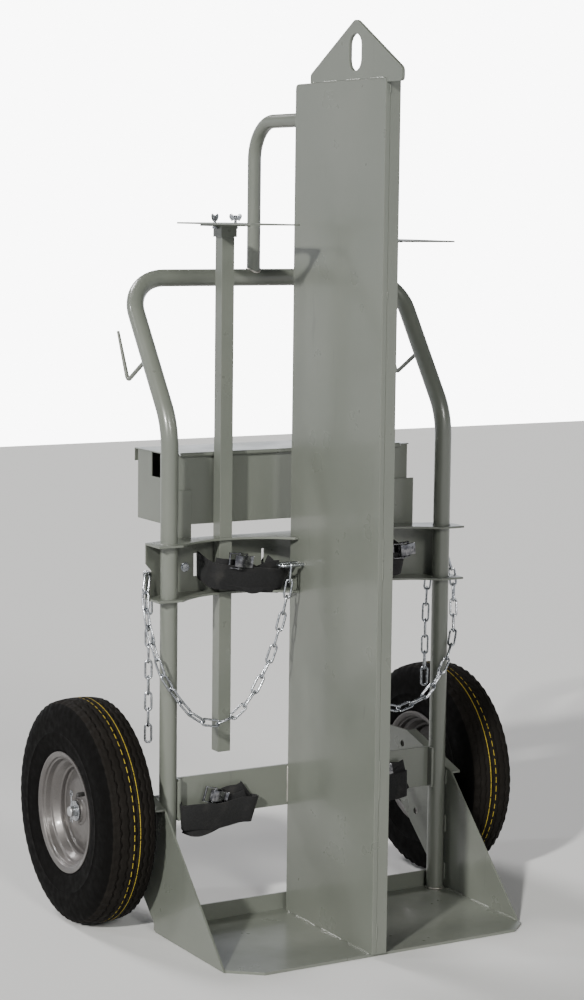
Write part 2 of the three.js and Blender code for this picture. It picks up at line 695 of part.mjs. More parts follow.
function hexBolt(s) {
  const front = SADDLE_BACK - SADDLE_T;
  const back = SADDLE_BACK + GAP + BRACKET_T;
  const head = rodY(BOLT_HEAD_R, front - 5.5, front - GAP, s * BOLT_X, BOLT_Z, 6);
  const nut = rodY(BOLT_HEAD_R, back + GAP, back + 6, s * BOLT_X, BOLT_Z, 6);
  return join(head, nut, rodY(BOLT_R, front - 4, back + 10, s * BOLT_X, BOLT_Z, 12));
}

// ---------- retainers ----------
function retainerTop(s) {
  return s > 0 ? RETAINER_Z - RIGHT_DROP : RETAINER_Z;
}

function post(s) {
  const h = POST / 2;
  const x = s * BAY_X;
  const top = retainerTop(s) - HEAD_T - GAP;
  const foot = top - POST_LENGTH;
  const outer = box(x - h, x + h, POST_Y - h, POST_Y + h, foot, top);
  const k = h - POST_WALL;
  return cut(outer, box(x - k, x + k, POST_Y - k, POST_Y + k, foot - PAST, top + PAST));
}

function retainerHead(s) {
  const x = s * BAY_X;
  const h = POST / 2 + GAP;
  const top = retainerTop(s);
  const rim = h + HEAD_T;
  const low = top - HEAD_COLLAR;
  const plate = box(
    x - HEAD_HALF_X, x + HEAD_HALF_X, POST_Y - HEAD_HALF_Y, POST_Y + HEAD_HALF_Y, top - HEAD_T, top);
  const collar = box(x - rim, x + rim, POST_Y - rim, POST_Y + rim, low, top - 1);
  const socket = box(x - h, x + h, POST_Y - h, POST_Y + h, low - PAST, top - HEAD_T);
  const holes = [-1, 1].map((k) => rodZ(SCREW_HOLE_R, top - 10, top + PAST, x + k * WING_DX, POST_Y));
  return cut(join(plate, collar), socket, ...holes);
}

function retainerPlate(s) {
  const x = s * BAY_X;
  const w = RETAINER_HALF;
  const corners = [
    [x - w, RETAINER_FRONT], [x + w, RETAINER_FRONT], [x + w, RETAINER_BACK], [x - w, RETAINER_BACK]];
  const outline = roundedPolygon(corners, [8, 8, 8, 8]);
  outline.holes.push(new THREE.Path().absarc(x, NECK_Y, NECK_R, 0, Math.PI * 2, true));
  const z0 = retainerTop(s) + GAP;
  const z1 = z0 + RETAINER_T;
  const holes = [-1, 1].map((k) => rodZ(SCREW_HOLE_R, z0 - PAST, z1 + PAST, x + k * WING_DX, POST_Y));
  return cut(alongZ(outline, z0, z1, 10), ...holes);
}

function wingScrew(s, k) {
  const x = s * BAY_X + k * WING_DX;
  const under = retainerTop(s) - HEAD_T - GAP;
  const top = retainerTop(s) + GAP + RETAINER_T + GAP;
  const wings = [-1, 1].map((w) => {
    const ear = new THREE.BoxGeometry(9, 2.2, 14).rotateY(w * 0.45);
    return ear.translate(x + w * 7, POST_Y, top + 10);
  });
  return join(
    rodZ(SCREW_HEAD_R, under - 4, under, x, POST_Y, 6), rodZ(SCREW_R, under - 2, top + 13, x, POST_Y, 10),
    rodZ(SCREW_WASHER_R, top, top + WASHER_T, x, POST_Y),
    rodZ(SCREW_HEAD_R, top + WASHER_T - 0.2, top + 8, x, POST_Y), ...wings);
}

function setScrew(s) {
  const x = s * BAY_X;
  const h = SET_SCREW_HEAD / 2;
  const tip = POST_Y + POST / 2 + GAP;
  return join(
    rodY(SET_SCREW_R, tip, SADDLE_BACK + 12, x, SET_SCREW_Z, 12),
    box(x - h, x + h, SADDLE_BACK + 8, SADDLE_BACK + 18, SET_SCREW_Z - h, SET_SCREW_Z + h));
}

// ---------- hose hooks and chains ----------
function hoseHook(s) {
  const x = s * TUBE_X;
  return sweep(new BentLine([[x, ...HOOK_FOOT], [x, ...HOOK_BEND], [x, ...HOOK_TIP]], 9, 4), disc(HOOK_R), 5);
}

function chainEye(s) {
  const face = s < 0 ? WALL_LEFT - GAP : WALL_RIGHT + GAP;
  const tip = face + s * EYE_REACH;
  const corners = [
    [face, EYE_FRONT, EYE_Z], [tip, EYE_FRONT, EYE_Z], [tip, EYE_BACK, EYE_Z], [face, EYE_BACK, EYE_Z]];
  return sweep(new BentLine(corners, 9, 4), disc(EYE_R), 4);
}

// The chain hangs from the eye, swings down across the bay, passes in front of the upright and
// climbs to the slot at the end of the channel; the spare links hang down from there.
const LEFT_CHAIN = [
  [-70, -50, 650], [-72, -50, 630], [-77, -49, 597], [-84, -48, 568], [-92, -47, 541], [-102, -46, 511],
  [-114, -44, 480], [-128, -42, 453], [-144, -41, 426], [-166, -38, 403], [-192, -36, 386], [-222, -33, 385],
  [-250, -30, 398], [-277, -29, 424], [-309, -26, 470], [-322, -17, 506], [-330, 2, 560], [-334, 18, 606],
  [-334, 28, 646]];
const RIGHT_CHAIN = [
  [18, -50, 650], [20, -50, 628], [26, -48, 585], [41, -46, 528], [63, -44, 479], [97, -42, 425],
  [136, -40, 388], [160, -38, 377], [181, -37, 373], [200, -37, 379], [223, -36, 386], [243, -36, 399],
  [262, -36, 422], [283, -33, 447], [303, -27, 478], [316, -16, 508], [328, 2, 556], [334, 18, 606],
  [334, 28, 646]];
const LEFT_TAIL = [[-335, 24, 641], [-322, 48, 642], [-308, 50, 606], [-307, 50, 346]];
const RIGHT_TAIL = [[335, 24, 641], [318, 52, 642], [301, 61, 604], [299, 62, 396]];

class RouteLine extends BentLine {
  constructor(route) {
    const curve = new THREE.CatmullRomCurve3(route.map((p) => new THREE.Vector3(...p)));
    super(route, 0, 0);
    this.stations = [];
    const steps = (route.length - 1) * 2;
    for (let i = 0; i <= steps; i += 1) {
      this.addStation(curve.getPoint(i / steps), curve.getTangent(i / steps));
    }
  }
}

function chain(route) {
  return sweep(new RouteLine(route), disc(CHAIN_R), 2);
}

// ---------- straps ----------
// A loop of webbing lying in the channel in front of the post.
function upperStrap(s) {
  const [x0, x1] = span(s, STRAP_IN, STRAP_OUT);
  const t = STRAP_T;
  const loop = (inset) => {
    const y = STRAP_DEPTH - inset;
    const corner = STRAP_CORNER_R - inset / 1.5;
    return roundedPolygon(
      [[x0 + inset, -y], [x1 - inset, -y], [x1 - inset, y], [x0 + inset, y]], Array(4).fill(corner));
  };
  const ring = loop(0);
  ring.holes.push(loop(t));
  return alongZ(ring, STRAP_BOTTOM, STRAP_TOP, 4);
}

// Webbing gathered into a bundle against the crossbar.
function lowerStrap(name) {
  const c = BUNDLE_X[name];
  const outline = roundedPolygon([
    [c - 75, 190], [c - 40, 183], [c + 20, 190], [c + 66, 187], [c + 66, 250], [c + 40, 266], [c - 66, 244]],
    [8, 8, 30, 6, 6, 8, 12]);
  return alongY(outline, BUNDLE_FRONT, BAR_Y - GAP, 4);
}

function camBuckle([cx, z0]) {
  const { wide, deep, high, window, rim: edge } = BUCKLE;
  const back = -STRAP_DEPTH - GAP;
  const z1 = z0 + high;
  const x0 = cx - wide / 2;
  const frame = box(x0, cx + wide / 2, back - deep, back, z0, z1);
  const opening = box(
    x0 + edge * 2, x0 + edge * 2 + window, back - deep - PAST, back + PAST, z0 + edge, z1 - edge);
  return cut(frame, opening);
}

// ---------- assembly ----------
piece('base_pan', basePan(), PAINT());
piece('frame_tube', frameTube(), PAINT());
piece('brace_tube', braceTube(), PAINT());
piece('firewall_left_skin', wallLeftSkin(), PAINT());
piece('firewall_right_skin', wallRightSkin(), PAINT());
piece('firewall_core', wallCore(), FIREBOARD());
piece('lift_plate', liftPlate(), PAINT());
piece('saddle_channel', saddle(), PAINT());
piece('lower_crossbar', crossbar(), PAINT());
piece('axle', axle(), STEEL());
piece('toolbox_body', toolboxBody(), PAINT());
piece('toolbox_lid', toolboxLid(), PAINT());
piece('toolbox_hinge_pin', rodX(PIN_R, BOX_LEFT + 18, BOX_RIGHT - 18, PIN_Y, BOX_TOP, 10), STEEL());

for (const { name, s } of SIDES) {
  piece(`side_plate_${name}`, sidePlate(s), PAINT());
  piece(`axle_spacer_${name}`, onShaft(s, SIDE_OUT + GAP, SPACER_OUT, SPACER_R), STEEL());
  piece(`axle_washer_${name}`, onShaft(s, WASHER_X, WASHER_X + AXLE_WASHER_T, WASHER_R), ZINC());
  piece(`cotter_pin_${name}`, cotterPin(s), ZINC());
  piece(`tyre_${name}`, tyre(s), TYRE());
  piece(`rim_${name}`, rim(s), SILVER());
  piece(`hub_${name}`, hub(s), SILVER());
  piece(`roller_bearing_${name}`, bearing(s), STEEL());
  piece(`valve_stem_${name}`, valveStem(s), BLACK_RUBBER());
  piece(`toolbox_bracket_${name}`, toolboxBracket(s), PAINT());
  piece(`toolbox_bolt_${name}`, hexBolt(s), ZINC());
  piece(`retainer_post_${name}`, post(s), PAINT());
  piece(`retainer_head_${name}`, retainerHead(s), PAINT());
  piece(`retainer_plate_${name}`, retainerPlate(s), PAINT());
  piece(`wing_screw_${name}_1`, wingScrew(s, -1), ZINC());
  piece(`wing_screw_${name}_2`, wingScrew(s, 1), ZINC());
  piece(`post_set_screw_${name}`, setScrew(s), ZINC());
  piece(`hose_hook_${name}`, hoseHook(s), PAINT());
  piece(`chain_eye_${name}`, chainEye(s), ZINC());
  piece(`strap_upper_${name}`, upperStrap(s), WEBBING());
  piece(`strap_lower_${name}`, lowerStrap(name), WEBBING());
}
piece('chain_left', join(chain(LEFT_CHAIN), chain(LEFT_TAIL)), ZINC());
piece('chain_right', join(chain(RIGHT_CHAIN), chain(RIGHT_TAIL)), ZINC());
piece('cam_buckle_upper_left', camBuckle(BUCKLE_LEFT), ZINC());
piece('cam_buckle_upper_right', camBuckle(BUCKLE_RIGHT), ZINC());

export default cart;
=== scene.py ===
"""Two-cylinder gas welding cart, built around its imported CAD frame. Metres, +Z up, front towards -Y."""
import math
import random

import bmesh
import bpy
from mathutils import Matrix, Vector


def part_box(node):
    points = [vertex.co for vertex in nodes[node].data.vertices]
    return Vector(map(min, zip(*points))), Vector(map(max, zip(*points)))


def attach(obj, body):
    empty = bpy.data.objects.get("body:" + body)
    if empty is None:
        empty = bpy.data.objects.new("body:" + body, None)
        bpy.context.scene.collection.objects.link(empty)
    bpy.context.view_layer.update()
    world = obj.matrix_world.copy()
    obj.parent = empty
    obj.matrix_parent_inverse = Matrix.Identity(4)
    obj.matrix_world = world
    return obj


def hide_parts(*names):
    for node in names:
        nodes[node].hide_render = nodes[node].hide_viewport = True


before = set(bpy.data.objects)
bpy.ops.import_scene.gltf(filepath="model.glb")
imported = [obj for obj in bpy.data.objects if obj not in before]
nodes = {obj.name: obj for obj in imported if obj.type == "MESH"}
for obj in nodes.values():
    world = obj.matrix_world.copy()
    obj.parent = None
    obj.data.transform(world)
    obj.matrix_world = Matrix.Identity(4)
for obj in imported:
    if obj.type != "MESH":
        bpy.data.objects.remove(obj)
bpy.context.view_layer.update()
MM = 0.001
RIGHT = Vector((1, 0, 0))
BACK = Vector((0, 1, 0))
UP = Vector((0, 0, 1))
SIDES = (("left", -1), ("right", 1))

CAMERA_AT = (-2.1941, -3.6834, 1.3108)
CAMERA_TURN = (29.83, -7.02, 0.62)   # yaw to the right, pitch and roll, in degrees
CAMERA_LENS = 84.89
CAMERA_SHIFT = (0.0206, -0.0053)
BACKDROP_SIDE = (0.50, 0.87, 0)      # where the bright backdrop stands
FLOOR_HALF = 8


# ---------- camera, lights, floor ----------
def add_camera():
    camera_data = bpy.data.cameras.new("camera")
    camera = bpy.data.objects.new("camera", camera_data)
    bpy.context.scene.collection.objects.link(camera)
    yaw, pitch, roll = (math.radians(a) for a in CAMERA_TURN)
    forward = Vector((math.sin(yaw) * math.cos(pitch), math.cos(yaw) * math.cos(pitch), math.sin(pitch)))
    right = Vector((math.cos(yaw), -math.sin(yaw), 0))
    up = right.cross(forward)
    side = math.cos(roll) * right + math.sin(roll) * up
    top = math.cos(roll) * up - math.sin(roll) * right
    turn = Matrix((side, top, -forward)).transposed()
    camera.matrix_world = Matrix.Translation(CAMERA_AT) @ turn.to_4x4()
    camera_data.sensor_width = 36
    camera_data.lens = CAMERA_LENS
    camera_data.shift_x, camera_data.shift_y = CAMERA_SHIFT
    bpy.context.scene.camera = camera


def add_sun(name, towards, strength, softness, colour=(1, 1, 1)):
    """A distant softbox: towards is the direction it stands in, softness its angle in degrees."""
    data = bpy.data.lights.new(name, "SUN")
    data.energy = strength
    data.angle = math.radians(softness)
    data.color = colour
    light = bpy.data.objects.new(name, data)
    bpy.context.scene.collection.objects.link(light)
    light.rotation_euler = Vector(towards).to_track_quat("Z", "Y").to_euler()


def add_studio():
    """A pale surround, darker overhead and brighter behind the cart, with a key light and softer helpers."""
    world = bpy.data.worlds.new("studio")
    bpy.context.scene.world = world
    world.use_nodes = True
    tree = world.node_tree
    place = tree.nodes.new("ShaderNodeTexCoord")
    split = tree.nodes.new("ShaderNodeSeparateXYZ")
    tree.links.new(place.outputs["Generated"], split.inputs[0])
    height = tree.nodes.new("ShaderNodeMapRange")
    height.interpolation_type = "SMOOTHSTEP"
    for socket, value in (("From Min", 0.03), ("From Max", 0.40), ("To Min", 0.90), ("To Max", 0.05)):
        height.inputs[socket].default_value = value
    tree.links.new(split.outputs["Z"], height.inputs["Value"])
    soft = tree.nodes["Background"]
    soft.inputs["Color"].default_value = (0.93, 0.96, 1.0, 1)
    behind = tree.nodes.new("ShaderNodeVectorMath")
    behind.operation = "DOT_PRODUCT"
    behind.inputs[1].default_value = BACKDROP_SIDE
    tree.links.new(place.outputs["Generated"], behind.inputs[0])
    lift = tree.nodes.new("ShaderNodeMapRange")
    lift.interpolation_type = "SMOOTHSTEP"
    for socket, value in (("From Min", 0.62), ("From Max", 0.95), ("To Min", 1.0), ("To Max", 2.6)):
        lift.inputs[socket].default_value = value
    tree.links.new(behind.outputs["Value"], lift.inputs["Value"])
    strength = tree.nodes.new("ShaderNodeMath")
    strength.operation = "MULTIPLY"
    tree.links.new(height.outputs["Result"], strength.inputs[0])
    tree.links.new(lift.outputs["Result"], strength.inputs[1])
    tree.links.new(strength.outputs[0], soft.inputs["Strength"])
    backdrop = tree.nodes.new("ShaderNodeBackground")
    backdrop.inputs["Color"].default_value = (1, 1, 1, 1)
    backdrop.inputs["Strength"].default_value = 9
    seen = tree.nodes.new("ShaderNodeLightPath")
    blend = tree.nodes.new("ShaderNodeMixShader")
    tree.links.new(seen.outputs["Is Camera Ray"], blend.inputs[0])
    tree.links.new(soft.outputs[0], blend.inputs[1])
    tree.links.new(backdrop.outputs[0], blend.inputs[2])
    tree.links.new(blend.outputs[0], tree.nodes["World Output"].inputs["Surface"])
    add_sun("key", (-0.74, -0.50, 0.46), 4.2, 3.0, (1.0, 0.99, 0.95))
    add_sun("front", (-0.10, -0.88, 0.46), 1.3, 12, (1.0, 0.99, 0.95))
    add_sun("side", (-0.80, 0.40, 0.45), 0.6, 5, (0.97, 0.98, 1.0))
    add_sun("back", (-0.20, 0.70, 0.68), 2.0, 16, (1.0, 0.98, 0.98))


def add_floor():
    mesh = bpy.data.meshes.new("floor")
    h = FLOOR_HALF
    mesh.from_pydata([(-h, -h, 0), (h, -h, 0), (h, h, 0), (-h, h, 0)], [], [(0, 1, 2, 3)])
    floor = bpy.data.objects.new("floor", mesh)
    bpy.context.scene.collection.objects.link(floor)
    look = bpy.data.materials.new("pale_floor")
    look.use_nodes = True
    shader = look.node_tree.nodes["Principled BSDF"]
    shader.inputs["Base Color"].default_value = (0.62, 0.62, 0.615, 1)
    shader.inputs["Roughness"].default_value = 0.9
    mesh.materials.append(look)


add_camera()
add_studio()
add_floor()


# ---------- material kit ----------
class Look:
    """A small builder for one procedural material in the piece's own coordinates."""

    def __init__(self, name, roughness, metallic=0.0, coat=0.0):
        self.material = bpy.data.materials.new(name)
        self.material.use_nodes = True
        self.tree = self.material.node_tree
        self.shader = self.tree.nodes["Principled BSDF"]
        self.shader.inputs["Roughness"].default_value = roughness
        self.shader.inputs["Metallic"].default_value = metallic
        self.shader.inputs["Coat Weight"].default_value = coat
        self.shader.inputs["Coat Roughness"].default_value = 0.12
        self.place = self.node("ShaderNodeTexCoord").outputs["Object"]

    def node(self, kind, **settings):
        made = self.tree.nodes.new(kind)
        for key, value in settings.items():
            setattr(made, key, value)
        return made

    def link(self, source, target):
        self.tree.links.new(source, target)

    def feed(self, target, value):
        if isinstance(value, (int, float, tuple)):
            target.default_value = value
        else:
            self.link(value, target)

    def noise(self, scale, detail=3.0, stretch=None, distortion=0.0):
        made = self.node("ShaderNodeTexNoise")
        made.inputs["Scale"].default_value = scale
        made.inputs["Detail"].default_value = detail
        made.inputs["Distortion"].default_value = distortion
        self.link(self.stretched(stretch), made.inputs["Vector"])
        return made.outputs["Fac"]

    def stretched(self, stretch):
        if stretch is None:
            return self.place
        mapping = self.node("ShaderNodeMapping")
        mapping.inputs["Scale"].default_value = stretch
        self.link(self.place, mapping.inputs["Vector"])
        return mapping.outputs["Vector"]

    def axes(self):
        split = self.node("ShaderNodeSeparateXYZ")
        self.link(self.place, split.inputs["Vector"])
        return split.outputs

    def math(self, operation, a, b=0.0):
        made = self.node("ShaderNodeMath", operation=operation)
        self.feed(made.inputs[0], a)
        self.feed(made.inputs[1], b)
        return made.outputs[0]

    def remap(self, value, low, high, to_low=0.0, to_high=1.0):
        made = self.node("ShaderNodeMapRange")
        made.inputs["From Min"].default_value = low
        made.inputs["From Max"].default_value = high
        made.inputs["To Min"].default_value = to_low
        made.inputs["To Max"].default_value = to_high
        self.feed(made.inputs["Value"], value)
        return made.outputs["Result"]

    def mix(self, factor, a, b):
        made = self.node("ShaderNodeMix", data_type="RGBA")
        self.feed(made.inputs["Factor"], factor)
        self.feed(made.inputs[6], a if not isinstance(a, tuple) else (*a, 1))
        self.feed(made.inputs[7], b if not isinstance(b, tuple) else (*b, 1))
        return made.outputs[2]

    def colour(self, value):
        self.feed(self.shader.inputs["Base Color"], value)

    def roughness(self, value):
        self.feed(self.shader.inputs["Roughness"], value)

    def bump(self, height, distance, strength=1.0):
        made = self.node("ShaderNodeBump")
        made.inputs["Strength"].default_value = strength
        made.inputs["Distance"].default_value = distance
        self.link(height, made.inputs["Height"])
        self.link(made.outputs["Normal"], self.shader.inputs["Normal"])


def rub_marks(look):
    """A mask of thin scattered scuffs, 0 where the paint is clean."""
    streaks = look.noise(55, 6, stretch=(1.0, 1.0, 0.12), distortion=0.6)
    patches = look.noise(5, 2)
    marks = look.remap(streaks, 0.62, 0.67)
    return look.math("MULTIPLY", marks, look.remap(patches, 0.52, 0.62))


def grey_paint():
    look = Look("grey_paint", roughness=0.34, coat=0.35)
    tone = look.remap(look.noise(3.2, 4), 0.35, 0.65)
    body = look.mix(tone, (0.118, 0.128, 0.109), (0.133, 0.142, 0.121))
    dust = look.remap(look.noise(1.6, 5), 0.55, 0.8, 0, 0.3)
    body = look.mix(dust, body, (0.175, 0.175, 0.155))
    look.colour(look.mix(look.math("MULTIPLY", rub_marks(look), 0.2), body, (0.06, 0.06, 0.055)))
    look.roughness(look.remap(look.noise(14, 4), 0.3, 0.7, 0.26, 0.40))
    peel = look.noise(420, 2)
    waves = look.noise(9, 2)
    height = look.math("ADD", peel, look.math("MULTIPLY", waves, 6.0))
    look.bump(height, 0.00006, 0.5)
    return look.material


def weld_metal():
    look = Look("weld_metal", roughness=0.42, metallic=0.85)
    heat = look.remap(look.noise(38, 3), 0.4, 0.65)
    look.colour(look.mix(heat, (0.56, 0.54, 0.50), (0.30, 0.28, 0.25)))
    look.bump(look.noise(900, 3), 0.0002, 0.6)
    return look.material


def zinc_plate():
    look = Look("zinc_plate", roughness=0.24, metallic=1.0)
    spangle = look.remap(look.noise(160, 3), 0.4, 0.62)
    look.colour(look.mix(spangle, (0.50, 0.52, 0.55), (0.29, 0.30, 0.32)))
    look.roughness(look.remap(look.noise(240, 4), 0.3, 0.7, 0.16, 0.34))
    look.bump(look.noise(1100, 2), 0.00008, 0.5)
    return look.material


def plated_steel():
    look = Look("plated_steel", roughness=0.18, metallic=1.0)
    stain = look.remap(look.noise(130, 4), 0.42, 0.6)
    look.colour(look.mix(stain, (0.24, 0.24, 0.25), (0.09, 0.09, 0.10)))
    look.roughness(look.remap(look.noise(300, 3), 0.3, 0.7, 0.12, 0.3))
    look.bump(look.noise(800, 2), 0.00008, 0.5)
    return look.material


def turned_steel():
    look = Look("turned_steel", roughness=0.36, metallic=1.0)
    rust = look.remap(look.noise(45, 6), 0.62, 0.78)
    look.colour(look.mix(rust, (0.52, 0.53, 0.54), (0.30, 0.22, 0.16)))
    rings = look.noise(700, 2, stretch=(1, 0.05, 0.05))
    look.roughness(look.remap(rings, 0.3, 0.7, 0.28, 0.48))
    look.bump(rings, 0.00006, 0.6)
    return look.material


def silver_paint():
    look = Look("silver_paint", roughness=0.42, metallic=0.55, coat=0.2)
    cast = look.remap(look.noise(7, 3), 0.35, 0.65)
    fleck = look.remap(look.noise(1500, 1), 0.45, 0.7)
    base = look.mix(cast, (0.085, 0.078, 0.075), (0.120, 0.112, 0.108))
    look.colour(look.mix(look.math("MULTIPLY", fleck, 0.35), base, (0.24, 0.23, 0.225)))
    look.roughness(look.remap(look.noise(60, 4), 0.3, 0.7, 0.34, 0.50))
    look.bump(look.noise(500, 2), 0.00006, 0.5)
    return look.material


WHEEL_CENTRE = Vector((0, 144 * MM, 206 * MM))
WHEEL_X = 383.6 * MM
TREAD_EDGE_R = 198 * MM
YELLOW_LINES = (3.2 * MM, -8.4 * MM)   # the broken line and the whole one, from the wheel's middle
LINE_WIDTH = 1.0 * MM


def tyre_rubber(side):
    """Black rubber with two yellow lines round the tread, one of them broken into dashes."""
    look = Look(f"tyre_rubber_{side}", roughness=0.75)
    look.shader.inputs["Specular IOR Level"].default_value = 0.06
    sign = -1 if side == "left" else 1
    x, y, z = look.axes()
    across = look.math("SUBTRACT", look.math("MULTIPLY", x, sign), WHEEL_X)
    dy = look.math("SUBTRACT", y, WHEEL_CENTRE.y)
    dz = look.math("SUBTRACT", z, WHEEL_CENTRE.z)
    radius = look.math("SQRT", look.math("ADD", look.math("MULTIPLY", dy, dy), look.math("MULTIPLY", dz, dz)))
    angle = look.math("ARCTAN2", dy, dz)
    on_tread = look.math("GREATER_THAN", radius, TREAD_EDGE_R)

    def line(at):
        off = look.math("ABSOLUTE", look.math("SUBTRACT", across, at))
        return look.math("MULTIPLY", look.math("LESS_THAN", off, LINE_WIDTH / 2), on_tread)

    dashes = look.math("GREATER_THAN", look.math("SINE", look.math("MULTIPLY", angle, 74)), -0.45)
    broken = look.math("MULTIPLY", line(YELLOW_LINES[0]), dashes)
    whole = line(YELLOW_LINES[1])
    chips = look.remap(look.noise(240, 4), 0.34, 0.42)
    yellow = look.math("MULTIPLY", look.math("MAXIMUM", broken, whole), chips)
    dust = look.remap(look.noise(26, 5), 0.5, 0.75, 0, 0.5)
    tread = look.mix(dust, (0.0085, 0.0074, 0.0064), (0.017, 0.0145, 0.0125))
    rubber = look.mix(on_tread, (0.0022, 0.0020, 0.0019), tread)
    look.colour(look.mix(yellow, rubber, (0.50, 0.38, 0.04)))
    look.roughness(look.remap(look.noise(80, 4), 0.3, 0.7, 0.62, 0.85))
    look.bump(look.noise(650, 3), 0.00025, 0.5)
    return look.material


def moulded_rubber():
    look = Look("moulded_rubber", roughness=0.55)
    bloom = look.remap(look.noise(120, 3), 0.4, 0.6)
    look.colour(look.mix(bloom, (0.012, 0.012, 0.012), (0.022, 0.021, 0.020)))
    look.bump(look.noise(900, 2), 0.0001, 0.5)
    return look.material


def black_webbing():
    """A flat weave whose ribs run across the strap, from its own UVs in metres."""
    look = Look("black_webbing", roughness=0.78)
    look.shader.inputs["Sheen Weight"].default_value = 0.06
    look.shader.inputs["Specular IOR Level"].default_value = 0.25
    look.shader.inputs["Sheen Roughness"].default_value = 0.45
    uv = look.node("ShaderNodeUVMap")
    split = look.node("ShaderNodeSeparateXYZ")
    look.link(uv.outputs["UV"], split.inputs["Vector"])
    along = look.math("SINE", look.math("MULTIPLY", split.outputs[0], 2 * math.pi / 0.0016))
    across = look.math("SINE", look.math("MULTIPLY", split.outputs[1], 2 * math.pi / 0.0022))
    weave = look.math("MULTIPLY", along, across)
    ribs = look.remap(weave, -1, 1)
    fuzz = look.noise(320, 4)
    body = look.mix(ribs, (0.0065, 0.0065, 0.0068), (0.019, 0.019, 0.020))
    worn = look.remap(look.noise(30, 4), 0.56, 0.74, 0, 0.6)
    look.colour(look.mix(worn, body, (0.035, 0.033, 0.031)))
    look.roughness(look.remap(fuzz, 0.3, 0.7, 0.68, 0.9))
    look.bump(look.math("ADD", ribs, look.math("MULTIPLY", fuzz, 0.6)), 0.0003, 0.7)
    return look.material


def fireboard():
    look = Look("fireboard", roughness=0.95)
    fibre = look.remap(look.noise(90, 6), 0.4, 0.6)
    look.colour(look.mix(fibre, (0.50, 0.47, 0.40), (0.62, 0.59, 0.52)))
    look.bump(look.noise(300, 5), 0.0006, 0.8)
    return look.material


PAINT = grey_paint()
WELD = weld_metal()
ZINC = zinc_plate()
STEEL = turned_steel()
PLATED = plated_steel()
SILVER = silver_paint()
RUBBER = moulded_rubber()
WEBBING = black_webbing()
BOARD = fireboard()


# ---------- mesh kit ----------
def vec(x, y, z):
    return Vector((x, y, z)) * MM


def circle(radius, sides):
    turn = 2 * math.pi / sides
    return [(radius * math.cos(turn * i), radius * math.sin(turn * i)) for i in range(sides)]


STRIP_EDGE_STEPS = 6


def rounded_strip(width, thick):
    """The cross-section of a flat strip with round edges: width along the first axis."""
    r = thick / 2
    points = []
    for sign in (1, -1):
        for i in range(STRIP_EDGE_STEPS + 1):
            a = -math.pi / 2 + math.pi * i / STRIP_EDGE_STEPS
            points.append((sign * (width / 2 - r + r * math.cos(a)), sign * r * math.sin(a)))
    return points


def bend_path(corners, radii, steps=10):
    """Straight runs joined by round bends, one radius for each inner corner."""
    path = [corners[0]]
    for i, radius in enumerate(radii, start=1):
        into = (corners[i] - corners[i - 1]).normalized()
        out = (corners[i + 1] - corners[i]).normalized()
        turn = into.angle(out)
        start = corners[i] - into * radius * math.tan(turn / 2)
        side = (out - into * out.dot(into)).normalized()
        for k in range(steps + 1):
            a = turn * k / steps
            path.append(start + into * radius * math.sin(a) + side * radius * (1 - math.cos(a)))
    path.append(corners[-1])
    return path


def smooth_path(points, per_span=6):
    """A Catmull-Rom curve through the points."""
    ends = [points[0] * 2 - points[1], *points, points[-1] * 2 - points[-2]]
    path = []
    for a, b, c, d in zip(ends, ends[1:], ends[2:], ends[3:]):
        for k in range(per_span):
            t = k / per_span
            path.append(0.5 * (2 * b + (c - a) * t + (2 * a - 5 * b + 4 * c - d) * t ** 2
                               + (3 * b - a - 3 * c + d) * t ** 3))
    path.append(points[-1])
    return path


def resample(path, step):
    """Points along the path, evenly spaced, with the step adjusted so that the last one lands on the end."""
    lengths = [(b - a).length for a, b in zip(path, path[1:])]
    count = max(1, round(sum(lengths) / step))
    step = sum(lengths) / count
    result, walked, i = [path[0]], 0.0, 0
    for k in range(1, count):
        while walked + lengths[i] < step * k:
            walked += lengths[i]
            i += 1
        result.append(path[i].lerp(path[i + 1], (step * k - walked) / lengths[i]))
    return [*result, path[-1]]


def sweep(bm, path, section, hint, closed=False, grow=None, uv=False):
    """Carries a cross-section along a path. hint is the side that the section's first axis keeps to."""
    count = len(path)
    rings = []
    side = hint
    for i, point in enumerate(path):
        before = path[i - 1] if closed or i else point
        after = path[(i + 1) % count] if closed or i < count - 1 else point
        tangent = (after - before).normalized()
        side = (side - tangent * side.dot(tangent)).normalized()
        up = tangent.cross(side)
        scale = grow(i) if grow else 1
        rings.append([bm.verts.new(point + (side * a + up * b) * scale) for a, b in section])
    spans = list(zip(rings, rings[1:] + rings[:1])) if closed else list(zip(rings, rings[1:]))
    walked = 0.0
    layer = bm.loops.layers.uv.verify() if uv else None
    for k, (ring, following) in enumerate(spans):
        step = (path[(k + 1) % count] - path[k]).length
        for j in range(len(section)):
            m = (j + 1) % len(section)
            face = bm.faces.new((ring[j], ring[m], following[m], following[j]))
            if uv:
                far, a, b = walked + step, section[j][0], section[m][0]
                for loop, corner in zip(face.loops, ((walked, a), (walked, b), (far, b), (far, a))):
                    loop[layer].uv = corner
        walked += step
    if not closed:
        bm.faces.new(list(reversed(rings[0])))
        bm.faces.new(rings[-1])


def join_rings(bm, rings):
    """Faces between closed rings of vertices, from each to the next and from the last to the first."""
    for ring, following in zip(rings, rings[1:] + rings[:1]):
        for j in range(len(ring)):
            m = (j + 1) % len(ring)
            bm.faces.new((ring[j], ring[m], following[m], following[j]))


def lathe(bm, profile, sides, centre, sign=1):
    """Turns (radius, offset) points, which close on themselves, about an axle along X."""
    rings = []
    for i in range(sides):
        a = 2 * math.pi * i / sides
        places = (Vector((sign * x, r * math.sin(a), r * math.cos(a))) for r, x in profile)
        rings.append([bm.verts.new(centre + place) for place in places])
    join_rings(bm, rings)


